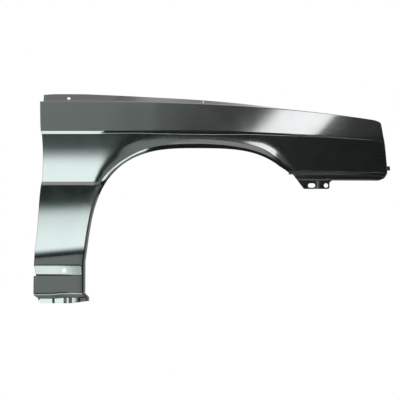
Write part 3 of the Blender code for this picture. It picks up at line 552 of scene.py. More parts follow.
@dataclass(frozen=True)
class MainSkin:
    """Grid of the panel above the leg and of the leg itself."""

    skin: Skin = Skin()
    roll_rear: float = 0.0016
    roll_front: float = 0.0030
    crease_band: float = 0.0022
    # Shares of the leg's width that must have a column: end of the hood flange and the sill's beads.
    leg_stations: tuple[float, ...] = (0.0, 0.050, 0.134, 0.269, 0.293, 0.317, 0.402, 0.487, 0.521,
                                       0.555, 0.585, 0.617, 0.649, 0.727, 0.815, 0.900, 0.985, 1.0)
    leg_step: float = 0.0170
    # Shares of the leg's width between which the groove gets shallower, and what is left of it.
    groove_shoal: tuple[float, float, float] = (0.45, 0.95, 0.78)
    # Shares ahead of the arch that must have a column: end of the bead, and both ends and dart of the
    # bracket.
    front_stations: tuple[float, ...] = (0.0, 0.021, 0.040, 0.236, 0.415, 0.980, 1.0)
    front_step: float = 0.0125
    front_angles: tuple[float, float] = (math.radians(30.0), math.radians(60.0))
    arch_columns: int = 150
    upper_rows: int = 22
    brow_rows: int = 2
    ledge_rows: int = 4
    ledge_foot_rows: int = 3
    mid_rows: tuple[int, int, int, int] = (1, 36, 6, 1)
    lug_share: float = 0.85
    crisp_band: float = 0.0008
    leg_rows: tuple[int, ...] = (3, 4, 3, 52, 12, 6, 9, 2, 15)

    @property
    def lines(self) -> BodyLines:
        """Creases and edges that the grid follows."""
        return self.skin.lines

    @property
    def leg_shares(self) -> list[float]:
        """Fine stations across the leg."""
        return refined(self.leg_stations, self.leg_step)

    @property
    def front_shares(self) -> list[float]:
        """Fine stations ahead of the arch."""
        return refined(self.front_stations, self.front_step)

    @property
    def joint_angle(self) -> float:
        """Angle at which the leg meets the panel above the arch."""
        return self.lines.arch.rear_angle(self.lines.waist_z + self.skin.waist_fillet)

    @property
    def front_angle(self) -> float:
        """Angle at which the bead reaches the foot crease."""
        return self.lines.arch.angle_at(self.lines.foot_z, *self.front_angles)

    @property
    def foot_start(self) -> float:
        """X where the bead reaches the foot crease."""
        return self.lines.arch.border(self.front_angle)[0]

    def heights(self, x: float, bottom: float, top: float) -> list[float]:
        """Return the heights of the grid rows of one column, from the crease down."""
        line = self.lines.shoulder(x)
        high, _, brow = self.skin.ledge(x)
        start = line - high
        levels = (top - self.crease_band, line + brow + self.crisp_band, line + brow, line,
                  start + self.skin.ledge_foot, start, start - self.crisp_band,
                  lerp(start, bottom, self.lug_share), bottom + self.crisp_band, bottom)
        counts = (self.upper_rows, 1, self.brow_rows, self.ledge_rows, self.ledge_foot_rows,
                  *self.mid_rows)
        return chain(levels, counts)

    def row_x(self, z: float, share: float, border: float) -> float:
        """Return X at a share of the way from the rear edge to the border."""
        return lerp(self.lines.rear(z) + self.roll_rear, border, share)

    def front_x(self, z: float, share: float) -> float:
        """Return X at a share of the way from the foot's start to the front edge."""
        return lerp(self.foot_start, self.lines.front(z) - self.roll_front, share)

    def crease_top(self, share: float) -> float:
        """Return the height of the crease over a front station, which leans with the edge."""
        top = self.lines.foot_z
        for _ in range(SETTLING_PASSES):
            top = self.lines.crease(self.front_x(top, share))
        return top

    def column(self, place: Callable[[float], float], x: float, bottom: float, top: float) -> Row:
        """Return one column of the panel.

        Args:
            place: Gives X at a height.
            x: X at which the rows are laid out.
            bottom: Height of the lowest point.
            top: Height of the crease.

        Returns:
            The points from the crease band down, with the crease itself put first.
        """
        rows = [top, *self.heights(x, bottom, top)]
        return [(place(z), self.skin.depth(place(z), z), z) for z in rows]

    def columns(self) -> list[Row]:
        """Return the columns of the whole panel above the leg, from rear to front."""
        lines, arch = self.lines, self.lines.arch
        bottom = lines.waist_z + self.skin.waist_fillet
        joint_x = arch.border(self.joint_angle)[0]
        made = []
        for share in self.leg_shares:
            x = lerp(lines.rear_end, joint_x, share)
            made.append(self.column(lambda z: self.row_x(z, share, joint_x), x, bottom, lines.crease(x)))
        for i in range(self.arch_columns):
            angle = lerp(self.joint_angle, self.front_angle, (i + 1) / self.arch_columns)
            x, low = arch.border(angle)
            made.append(self.column(lambda z: x, x, low, lines.crease(x)))
        for share in self.front_shares[1:]:
            x = self.front_x(lines.foot_z, share)
            top = self.crease_top(share)
            made.append(self.column(lambda z: self.front_x(z, share), x, lines.foot_z, top))
        return made

    def leg_heights(self, x: float, share: float) -> list[float]:
        """Return the heights of the grid rows of the leg at a place and share of its width."""
        lines, fillet = self.lines, self.skin.waist_fillet
        bend = self.skin.bend_start(x)
        low = lines.waist_z - self.skin.waist_height
        foot = lines.groove_top - lines.groove_height
        levels = (lines.waist_z + fillet, lines.waist_z - fillet, low + fillet, low - fillet, bend,
                  bend - self.skin.bend_height, lines.groove_top, foot + lines.groove_step, foot,
                  self.skin.sill_line(share))
        return chain(levels, self.leg_rows)

    def groove_fade(self, share: float) -> float:
        """Return how deep the trim groove is at a share of the leg, against its rear end."""
        start, end, rest = self.groove_shoal
        return lerp(1.0, rest, ease((share - start) / (end - start)))

    def leg(self, groove_end: float) -> list[Row]:
        """Return the rows of the leg, from the waist fold down.

        Args:
            groove_end: Share of the leg's width where the trim groove ends.

        Returns:
            The rows, each from the rear edge to the bead.
        """
        lines = self.lines
        joint_x = lines.arch.border(self.joint_angle)[0]
        columns = []
        for share in self.leg_shares:
            column = []
            near = self.row_x(lines.waist_z, share, joint_x)
            for k, z in enumerate(self.leg_heights(near, share)):
                border = joint_x if k == 0 else lines.arch.leg_x(z)
                x = self.row_x(z, share, border)
                groove = clamp((1.0 - share) / (1.0 - groove_end)) * self.groove_fade(share)
                column.append((x, self.skin.depth(x, z, groove), z))
            columns.append(column)
        return transposed(columns)


@dataclass(frozen=True)
class ArchBead:
    """Bead rolled around the wheel arch, with its turned lip."""

    grid: MainSkin = MainSkin()
    roll_slope: float = 0.72
    # Share of the width left to the arch edge, and the turn inwards there, beside the leg.
    side: Table = ((1.0, 0.0), (0.62, 0.0026), (0.0, 0.0130))
    # Angle in degrees, and how far that section has taken over.
    side_shares: Table = ((141.0, 0.0), (149.0, 1.0))
    # The same two tables for the bright strip behind the top of the arch.
    strip: Table = ((1.0, 0.0), (0.90, 0.0002), (0.48, 0.0015), (0.41, 0.0026), (0.20, 0.0064),
                    (0.0, 0.0090))
    strip_shares: Table = ((108.0, 0.0), (113.0, 0.25), (119.0, 0.75), (126.0, 1.0), (138.0, 1.0),
                           (142.0, 0.0))
    lip_depth: float = 0.0120
    steps: int = 14

    def fall(self, angle: float, share: float) -> float:
        """Return how far the bead has turned inwards.

        Args:
            angle: Angle about the arch centre.
            share: Share of the bead's width left to the arch edge.

        Returns:
            The depth below the edge of the panel.
        """
        degrees = math.degrees(angle)
        roll = self.roll_slope * self.grid.lines.arch.bead(angle) * (1.0 - share)
        fall = lerp(roll, curve(self.strip, share), curve(self.strip_shares, degrees))
        return lerp(fall, curve(self.side, share), curve(self.side_shares, degrees))

    def section(self, angle: float, straight_z: float | None = None) -> Row:
        """Return the points of the bead and lip across one station.

        Args:
            angle: Angle about the arch centre.
            straight_z: Height of the station on the straight side below the centre.

        Returns:
            The points from the panel to the tip of the lip.
        """
        arch, skin = self.grid.lines.arch, self.grid.skin
        width = arch.bead(angle)
        base_x, base_z = arch.border(angle)
        if straight_z is not None:
            base_z = straight_z
        face = skin.depth(base_x, base_z)
        points = []
        for i in range(self.steps + 1):
            share = 1.0 - i / self.steps
            x, z = arch.point(angle, width * share)
            z = z if straight_z is None else straight_z
            points.append((x, face + self.fall(angle, share), z))
        x, y, z = points[-1]
        points.append((x, y + self.lip_depth, z))
        return points


@dataclass(frozen=True)
class FrontFoot:
    """Ribs ahead of the arch, with the bracket and the return flange below them."""

    grid: MainSkin = MainSkin()
    bead: ArchBead = ArchBead()
    # Fall below the foot crease, and how far the face stands out there.
    ribs: Table = ((0.0000, 0.0000), (0.0027, 0.0000), (0.0036, 0.0023), (0.0052, 0.0023),
                   (0.0062, 0.0021), (0.0084, 0.0000), (0.0114, 0.0000), (0.0123, 0.0023),
                   (0.0140, 0.0023), (0.0174, 0.0022), (0.0192, 0.0003), (0.0222, 0.0004),
                   (0.0236, 0.0024), (0.0262, 0.0025), (0.0312, 0.0008))
    rib_fade: float = 0.018
    lip_end_fall: float = 0.0126
    lip_end_ahead: float = 0.0012
    lip_end_share: float = 0.3
    cut_ahead: float = 0.0080
    cut_run: float = 0.775
    return_depth: float = 0.0105
    return_drop: float = 0.0004
    first_share: float = 0.040
    last_share: float = 0.415
    low_rows: int = 22
    bare_rows: int = 6
    end_steps: int = 5
    bracket_length: float = 0.1060
    bracket_drop: float = 0.0255
    bracket_setback: float = 0.0010
    bracket_fillet: float = 0.0080
    bracket_chamfer: float = 0.0040
    bracket_rows: int = 16
    dart_ahead: float = 0.0584
    # Distance ahead of the dart, and how far the bracket stands out there.
    dart: Table = ((-0.0042, 0.0), (0.0042, 0.0033), (0.0180, 0.0))
    dart_top: float = 0.15

    @property
    def lip_x(self) -> float:
        """X where the lip of the arch runs out into the ribs."""
        return self.grid.foot_start + self.lip_end_ahead

    def cut_x(self, fall: float) -> float:
        """Return X of the slanted rear cut at a fall below the foot crease."""
        return self.lip_x + self.cut_ahead + self.cut_run * (fall - self.lip_end_fall)

    def edge_x(self, fall: float) -> float:
        """Return X of the front edge of the skin at a fall below the foot crease."""
        lines = self.grid.lines
        return lines.front(lines.foot_z - fall) - self.grid.roll_front

    def reach(self, share: float, fall: float) -> float:
        """Return a station's share of the way from the slanted cut to the edge."""
        total = self.ribs[-1][0]
        left, right = self.cut_x(total), self.edge_x(total)
        end = left + self.bracket_length
        first, last = self.first_share, self.last_share
        if share <= last:
            x = lerp(left, end, (share - first) / (last - first))
        else:
            x = lerp(end, right, (share - last) / (1.0 - last))
        return lerp((share - first) / (1.0 - first), (x - left) / (right - left), fall / total)

    def rib_x(self, fall: float, share: float) -> float:
        """Return X of a point of the rib field."""
        edge = self.edge_x(fall)
        lip_share = self.grid.front_stations[1]
        lean = clamp(fall / self.lip_end_fall)
        second = self.cut_x(fall)
        if fall < self.lip_end_fall:
            above = lerp(self.grid.foot_start, edge, self.first_share)
            second = lerp(above, self.lip_x + self.cut_ahead, lean)
        if share >= self.first_share:
            return lerp(second, edge, self.reach(share, fall))
        first = lerp(lerp(self.grid.foot_start, edge, lip_share), self.lip_x, lean)
        return lerp(first, second, (share - lip_share) / (self.first_share - lip_share))

    def rib_point(self, fall: float, share: float) -> Point:
        """Return a point of the rib field."""
        lines, skin = self.grid.lines, self.grid.skin
        z = lines.foot_z - fall
        x = self.rib_x(fall, share)
        if fall == 0.0:
            return x, skin.depth(x, z), z
        fade = clamp((lines.front(lines.foot_z) - x) / self.rib_fade)
        depth = skin.sweep(x, z) + skin.section(x, lines.foot_z)
        return x, depth - curve(self.ribs, fall) * fade, z

    def upper_falls(self) -> list[float]:
        """Return the falls of the rows beside the end of the bead."""
        return chain((0.0, self.lip_end_fall), (self.bead.steps,))

    def lower_falls(self) -> list[float]:
        """Return the falls of the rows below the end of the bead."""
        return chain((self.lip_end_fall, self.ribs[-1][0]), (self.low_rows,))

    def bead_end(self) -> list[Row]:
        """Return the stations that carry the bead over into the ribs."""
        lip_share = self.grid.front_stations[1]
        end = [self.rib_point(fall, lip_share) for fall in self.upper_falls()]
        x, y, z = end[-1]
        end.append((x, y + self.bead.lip_depth * self.lip_end_share, z))
        start = self.bead.section(self.grid.front_angle)
        return [[mix_points(a, b, i / self.end_steps) for a, b in zip(end, start)]
                for i in range(self.end_steps)]

    def bracket(self, fold: Row) -> list[Row]:
        """Return the rows of the bracket below its fold line."""
        left, depth, fold_z = fold[0]
        right = fold[-1][0]
        turn = (fold[-1][1] - depth) / (right - left)
        dart = self.cut_x(self.ribs[-1][0]) + self.dart_ahead
        rows = [list(fold)]
        for k in range(self.bracket_rows):
            drop = self.bracket_drop * (k + 1) / self.bracket_rows
            start = left + self.cut_run * drop
            rounding = clamp(1.0 - drop / self.bracket_fillet)
            chamfer = max(0.0, drop - self.bracket_drop + self.bracket_chamfer)
            end = right - self.bracket_fillet * (1.0 - rounding ** 2) - chamfer
            row = []
            for point in fold:
                x = lerp(start, end, (point[0] - left) / (right - left))
                y = depth + turn * (x - left) + self.bracket_setback * ease(drop / self.bracket_setback)
                bump = curve(self.dart, x - dart) * lerp(self.dart_top, 1.0, drop / self.bracket_drop)
                row.append((x, y - bump, fold_z - drop))
            rows.append(row)
        return rows

    def lay(self, sheet: Sheet) -> list[Row]:
        """Add the ribs, the bracket and the return flange.

        Args:
            sheet: The sheet they are part of.

        Returns:
            The rows of ribs ahead of the bracket's first station.
        """
        shares = self.grid.front_shares[1:]
        inner = shares.index(self.first_share)
        upper = [[self.rib_point(fall, share) for share in shares] for fall in self.upper_falls()]
        lower = [[self.rib_point(fall, share) for share in shares[inner:]] for fall in self.lower_falls()]
        sheet.patch(upper)
        sheet.patch(lower)
        foot = lower[-1]
        split = shares.index(self.last_share) - inner
        sheet.patch(self.bracket(foot[:split + 1]))
        rest = foot[split:]
        sheet.patch([rest, [(x, y + self.return_depth, z - self.return_drop) for x, y, z in rest]])
        return [row[inner:] for row in upper] + lower[1:]


@dataclass(frozen=True)
class HoodFlange:
    """Stepped flange along the top crease, which the panel hangs by."""

    skin: Skin = Skin()
    # X, and rise of the flange above the crease.
    rise: Table = ((-0.472, 0.0200), (-0.430, 0.0222), (-0.360, 0.0222), (-0.285, 0.0202),
                   (-0.141, 0.0158), (0.003, 0.0124), (0.111, 0.0088), (0.219, 0.0044),
                   (0.320, 0.0018), (0.528, 0.0012))
    depth: float = 0.0220
    joggle_depth: float = 0.0060
    joggle_rise: float = 0.0014
    joggle_share: float = 0.6
    # Share of the step's depth, share of its rise, and share of the rise above it.
    joggle: Table = ((0.25, 0.75, 0.0), (0.80, 1.0, 0.0), (1.05, 1.0, 0.06))
    hole_ahead: float = 0.1095
    hole_up: float = 0.32
    hole_diameter: float = 0.0105
    slot_x: float = 0.0100
    slot_up: float = 0.50
    slot_length: float = 0.0120
    slot_width: float = 0.0022
    mount_ahead: float = 0.0905
    mount_up: float = 0.50
    fold: float = 0.0011
    fold_steps: int = 3

    def section(self, point: Point) -> Row:
        """Return the corners of the flange above one point of the crease."""
        x, y, z = point
        rise = curve(self.rise, x)
        low = min(self.joggle_rise, rise * self.joggle_share)
        points = [point]
        for inward, share, climb in self.joggle:
            points.append((x, y + inward * self.joggle_depth, z + share * low + climb * (rise - low)))
        points.append((x, y + self.depth, z + rise))
        return points

    def slope_point(self, x: float, share: float) -> Point:
        """Return a point on the slope of the flange."""
        z = self.skin.lines.crease(x)
        corners = self.section((x, self.skin.depth(x, z), z))
        return mix_points(corners[-2], corners[-1], share)

    def slope_normal(self, x: float) -> Vector:
        """Return the outward normal of the flange's slope."""
        a, b = (Vector(self.slope_point(x, share)) for share in (0.0, 1.0))
        run = b - a
        return Vector((0.0, -run.z, run.y)).normalized()

    def datum(self) -> Point:
        """Return the point that becomes the origin."""
        return self.slope_point(self.skin.lines.rear_end + self.mount_ahead, self.mount_up)

    def lay(self, sheet: Sheet, columns: list[Row], first: int, last: int) -> None:
        """Add the flange, and the bare crease beside its two ends.

        Args:
            sheet: The sheet it is part of.
            columns: Columns of the panel, each with its crease point first.
            first: Column at which the flange starts.
            last: Column at which it ends.
        """
        lines = [rounded([column[1], *self.section(column[0])], self.fold, self.fold_steps)
                 for column in columns]
        brow = 2 + self.fold_steps // 2
        sheet.patch(transposed(lines[first:last + 1]))
        for bare in (lines[:first + 1], lines[last:]):
            sheet.patch(transposed(line[:brow] for line in bare))


@dataclass(frozen=True)
class EdgeReturn:
    """Flange folded in along an upright edge of the panel."""

    edge: Edge
    roll: float
    depth: float
    lean: float = 0.0
    steps: int = 6

    def rows(self, points: Row) -> list[Row]:
        """Return the roll and the flange along an edge of the skin."""
        side = self.edge.value
        rows = [list(points)]
        for step in range(1, self.steps + 1):
            turn = math.pi / 2.0 * step / self.steps
            out, inward = side * self.roll * math.sin(turn), self.roll * (1.0 - math.cos(turn))
            rows.append([(x + out, y + inward, z) for x, y, z in points])
        rows.append([(x - side * self.lean, y + self.depth, z) for x, y, z in rows[-1]])
        return rows


@dataclass(frozen=True)
class SillFlange:
    """Rounding under the leg with the beaded flange below it."""

    # Number, depth and fall of the knots of the rounding.
    knots: Table = ((0.0, 0.0, 0.0), (1.0, 0.0004, 0.0050), (2.0, 0.0036, 0.0078),
                    (3.0, 0.0110, 0.0146), (4.0, 0.0140, 0.0174))
    drop: float = 0.0166
    depth: float = 0.0042
    inset: float = 0.0125
    spread: float = 0.0115
    twist: float = 0.0118
    twist_start: float = 0.60
    twist_top: float = 0.3
    lift: float = 0.0070
    corner: float = 0.0060
    corner_share: float = 0.05
    bead_depth: float = 0.0050
    # Place and width of each bead, as shares of the flange's width.
    beads: Table = ((0.296, 0.050), (0.533, 0.078), (0.632, 0.070))
    bead_start: float = 0.15
    hang_fade: float = 1.2
    rows_each: int = 4
    flange_rows: int = 6

    def bead_at(self, share: float) -> float:
        """Return how deep the flange's beads are at a share of its width."""
        return self.bead_depth * sum(ease(1.0 - 2.0 * abs(share - centre) / width)
                                     for centre, width in self.beads)

    def lay(self, sheet: Sheet, bottom: Row) -> None:
        """Add the rounding and the flange below the lowest row of the leg."""
        left, (right, _, level) = bottom[0][0], bottom[-1]
        last, final, low = self.knots[-1]
        count = int(last) * self.rows_each
        lines = [(0.0, *(curve(self.knots, last * k / count, column) for column in (1, 2)))
                 for k in range(1, count + 1)]
        for k in range(self.flange_rows):
            step = (k + 1) / self.flange_rows
            lines.append((step, final + self.depth * step, low + self.drop * step))
        start = self.knots[1][1]
        rows = [list(bottom)]
        for step, inward, fall in lines:
            inset = self.inset * ease((inward - start) / (final - start))
            row = []
            for x, y, z in bottom:
                share = (x - left) / (right - left)
                twist = ease((share - self.twist_start) / (1.0 - self.twist_start))
                corner = self.corner * step * clamp(1.0 - share / self.corner_share)
                started = ease((fall - low) / (self.bead_start * self.drop) + 1.0)
                bead = self.bead_at(share) * started
                hang = (level - z) * ease(2.0 - self.hang_fade * fall / low)
                row.append((lerp(left + inset, right + self.spread * ease(fall / low), share),
                            y + inward + bead - self.twist * twist * lerp(self.twist_top, 1.0, step),
                            level - fall - hang + self.lift * twist * step + corner))
            rows.append(row)
        sheet.patch(rows)


@dataclass(frozen=True)
class Punch:
    """One punched hole or slot: a prism with round ends that pierces the sheet."""

    centre: Point
    normal: Vector
    length: float
    width: float
    facing: Facing = Facing.ALONG
    reach: float = 0.0200
    sides: int = 40

    def add_to(self, mesh: bmesh.types.BMesh) -> None:
        """Add the prism to a mesh of cutters."""
        straight, radius = max(0.0, self.length - self.width) / 2.0, self.width / 2.0
        across = Vector((1.0, 0.0, 0.0))
        up = across.cross(self.normal).normalized()
        if self.facing is Facing.UPRIGHT:
            across, up = up, across
        rings = []
        for side in (-self.reach, self.reach):
            ring = []
            for i in range(self.sides):
                angle = 2.0 * math.pi * (i + 0.5) / self.sides
                shift = math.copysign(straight, math.cos(angle))
                place = Vector(self.centre) + across * (radius * math.cos(angle) + shift)
                ring.append(mesh.verts.new(place + up * radius * math.sin(angle) + self.normal * side))
            rings.append(ring)
        faces = [mesh.faces.new(rings[0]), mesh.faces.new(rings[1][::-1])]
        for i in range(self.sides):
            j = (i + 1) % self.sides
            faces.append(mesh.faces.new((rings[0][j], rings[0][i], rings[1][i], rings[1][j])))
        bmesh.ops.recalc_face_normals(mesh, faces=faces)


def linear(hex_colour: str) -> tuple[float, float, float, float]:
    """Return an sRGB hex colour as linear red, green, blue and alpha."""
    parts = [int(hex_colour[i:i + 2], 16) / 255.0 for i in (1, 3, 5)]
    return (*(c / 12.92 if c <= 0.04045 else ((c + 0.055) / 1.055) ** 2.4 for c in parts), 1.0)


def add_node(tree: bpy.types.NodeTree, kind: str, settings: dict[str, object] | None = None,
             values: dict[str | int, object] | None = None) -> bpy.types.Node:
    """Add a node to a tree.

    Args:
        tree: Tree that takes the node.
        kind: Type name of the node.
        settings: Properties of the node by name.
        values: Sockets by name or number, each with a number, a colour or the output linked to it.

    Returns:
        The new node.
    """
    node = tree.nodes.new(kind)
    for name, value in (settings or {}).items():
        setattr(node, name, value)
    for name, value in (values or {}).items():
        if isinstance(value, bpy.types.NodeSocket):
            tree.links.new(value, node.inputs[name])
        else:
            node.inputs[name].default_value = value
    return node


def add_noise(tree: bpy.types.NodeTree, size_mm: float, detail: float = 2.0,
              roughness: float = 0.5) -> bpy.types.NodeSocket:
    """Add a noise pattern fixed to the object.

    Args:
        tree: Tree that takes the nodes.
        size_mm: Width of one blob in millimetres.
        detail: Octaves of finer noise.
        roughness: Strength of each octave against the one before.

    Returns:
        The output with the value of the noise.
    """
    place = add_node(tree, "ShaderNodeTexCoord").outputs["Object"]
    noise = add_node(tree, "ShaderNodeTexNoise", {}, {
        "Vector": place, "Scale": MM_PER_M / size_mm, "Detail": detail, "Roughness": roughness})
    return noise.outputs["Fac"]


def new_tree(name: str) -> tuple[bpy.types.Material, bpy.types.NodeTree]:
    """Return a new material with an empty node tree."""
    material = bpy.data.materials.new(name)
    material.use_nodes = True
    material.node_tree.nodes.clear()
    return material, material.node_tree


def linked(name: str, data: bpy.types.ID) -> bpy.types.Object:
    """Return a new object of some data, linked to the scene."""
    made = bpy.data.objects.new(name, data)
    bpy.context.scene.collection.objects.link(made)
    return made


def settled(name: str, mesh: bmesh.types.BMesh) -> bpy.types.Object:
    """Return a new linked object of a mesh under construction, which is freed."""
    data = bpy.data.meshes.new(name)
    mesh.to_mesh(data)
    mesh.free()
    return linked(name, data)


@dataclass(frozen=True)
class ElectroCoat:
    """Black cathodic electro-coat on pressed steel: a thin baked epoxy film, glossy and faintly wavy."""

    name: str = "black_electro_coat"
    # The eye sees a black with a trace of green, and on it soft mirrored fields of the studio.
    film: str = "#0A0C0B"
    film_thin: str = "#101412"
    ior: float = 1.52
    roughness: tuple[float, float] = (0.17, 0.23)
    coat_roughness: float = 0.075
    # Orange peel is 2 to 5 mm across.  It is drawn coarser, because a pixel covers 3 mm.
    peel_mm: float = 9.0
    peel_height: float = 0.00002
    # Slow waves that pressing leaves in a large sheet.
    sheet_wave_mm: float = 120.0
    sheet_wave_height: float = 0.00012
    relief_detail: float = 1.0
    # Clouds where the film ran a little thicker or thinner in the bath.
    cloud_mm: float = 70.0
    cloud_detail: float = 3.0
    cloud_roughness: float = 0.55
    cloud_range: tuple[float, float] = (0.3, 0.7)

    def build(self) -> bpy.types.Material:
        """Return the material: two layers of relief under a cloudy film."""
        material, tree = new_tree(self.name)
        cloud = add_noise(tree, self.cloud_mm, self.cloud_detail, self.cloud_roughness)
        colour = add_node(tree, "ShaderNodeMix", {"data_type": "RGBA"}, {
            0: cloud, 6: linear(self.film), 7: linear(self.film_thin)})
        rough = add_node(tree, "ShaderNodeMapRange", {}, {
            "Value": cloud, "From Min": self.cloud_range[0], "From Max": self.cloud_range[1],
            "To Min": self.roughness[0], "To Max": self.roughness[1]})
        below = {}
        for size_mm, height in ((self.sheet_wave_mm, self.sheet_wave_height),
                                (self.peel_mm, self.peel_height)):
            relief = add_node(tree, "ShaderNodeBump", {}, {
                "Height": add_noise(tree, size_mm, self.relief_detail), "Distance": height,
                "Strength": 1.0, **below})
            below = {"Normal": relief.outputs["Normal"]}
        shader = add_node(tree, "ShaderNodeBsdfPrincipled", {}, {
            "Base Color": colour.outputs[2], "Roughness": rough.outputs["Result"], "IOR": self.ior,
            "Coat Weight": 1.0, "Coat Roughness": self.coat_roughness, "Coat IOR": self.ior,
            "Coat Normal": below["Normal"], **below})
        add_node(tree, "ShaderNodeOutputMaterial", {}, {"Surface": shader.outputs["BSDF"]})
        return material


@dataclass(frozen=True)
class PaleFloor:
    """Matt white studio paint on board, with a faint roller texture."""

    name: str = "pale_studio_paint"
    # The eye sees an even, very slightly warm white.
    paint: str = "#EDEDEB"
    roughness: float = 0.85
    grain_mm: float = 3.0
    grain_height: float = 0.0001

    def build(self) -> bpy.types.Material:
        """Return the material."""
        material, tree = new_tree(self.name)
        bump = add_node(tree, "ShaderNodeBump", {}, {
            "Height": add_noise(tree, self.grain_mm), "Distance": self.grain_height})
        shader = add_node(tree, "ShaderNodeBsdfPrincipled", {}, {
            "Base Color": linear(self.paint), "Roughness": self.roughness,
            "Normal": bump.outputs["Normal"]})
        add_node(tree, "ShaderNodeOutputMaterial", {}, {"Surface": shader.outputs["BSDF"]})
        return material


@dataclass(frozen=True)
class Softbox:
    """A soft light far away from the panel, given by the part of the sky that it fills."""

    name: str
    # Degrees from straight ahead of the panel towards its front, and degrees above the horizon.
    azimuths: tuple[float, float]
    elevations: tuple[float, float]
    radiance: float
    # Widths of the soft left, right, lower and upper edge, as shares of the softbox.
    fades: tuple[float, float, float, float] = (0.1, 0.1, 0.1, 0.1)
    # Degrees that the left and the right edge lean for each degree of height.
    slants: tuple[float, float] = (0.0, 0.0)
    colour: str = "#FFFFFF"
    lights_diffuse: bool = True
    distance: float = 10.0
    cells: int = 24

    def place(self, across: float, up: float) -> Point:
        """Return the point of the softbox at shares across and up it."""
        elevation = lerp(*self.elevations, up)
        lean = lerp(*self.slants, across) * (elevation - sum(self.elevations) / 2.0)
        azimuth = math.radians(lerp(*self.azimuths, across) + lean)
        elevation = math.radians(elevation)
        level = self.distance * math.cos(elevation)
        return level * math.sin(azimuth), -level * math.cos(azimuth), self.distance * math.sin(elevation)

    def film(self) -> bpy.types.Material:
        """Return the glowing film, which fades out at its four edges and hides nothing behind it."""
        material, tree = new_tree(self.name + "_film")
        spot = add_node(tree, "ShaderNodeTexCoord").outputs["UV"]
        parts = add_node(tree, "ShaderNodeSeparateXYZ", {}, {0: spot})
        strength = self.radiance
        for axis, low, high in (("X", *self.fades[:2]), ("Y", *self.fades[2:])):
            for start, end in ((0.0, low), (1.0, 1.0 - high)):
                fade = add_node(tree, "ShaderNodeMapRange", {"interpolation_type": "SMOOTHSTEP"}, {
                    "Value": parts.outputs[axis], "From Min": start, "From Max": end})
                strength = add_node(tree, "ShaderNodeMath", {"operation": "MULTIPLY"}, {
                    0: strength, 1: fade.outputs["Result"]}).outputs[0]
        glow = add_node(tree, "ShaderNodeEmission", {}, {"Color": linear(self.colour), "Strength": strength})
        clear = add_node(tree, "ShaderNodeBsdfTransparent")
        both = add_node(tree, "ShaderNodeAddShader", {}, {0: glow.outputs[0], 1: clear.outputs[0]})
        add_node(tree, "ShaderNodeOutputMaterial", {}, {"Surface": both.outputs[0]})
        return material

    def build(self, centre: Vector) -> bpy.types.Object:
        """Return the softbox around a centre, unseen by the camera."""
        steps = range(self.cells + 1)
        points = [self.place(i / self.cells, j / self.cells) for j in steps for i in steps]
        width = self.cells + 1
        faces = [(j * width + i, j * width + i + 1, (j + 1) * width + i + 1, (j + 1) * width + i)
                 for j in range(self.cells) for i in range(self.cells)]
        data = bpy.data.meshes.new(self.name)
        data.from_pydata(points, [], faces)
        layer = data.uv_layers.new(name="film")
        for loop in data.loops:
            row, column = divmod(loop.vertex_index, width)
            layer.data[loop.index].uv = (column / self.cells, row / self.cells)
        data.materials.append(self.film())
        box = linked(self.name, data)
        box.location = centre
        box.visible_camera = False
        box.visible_shadow = False
        box.visible_diffuse = self.lights_diffuse
        return box


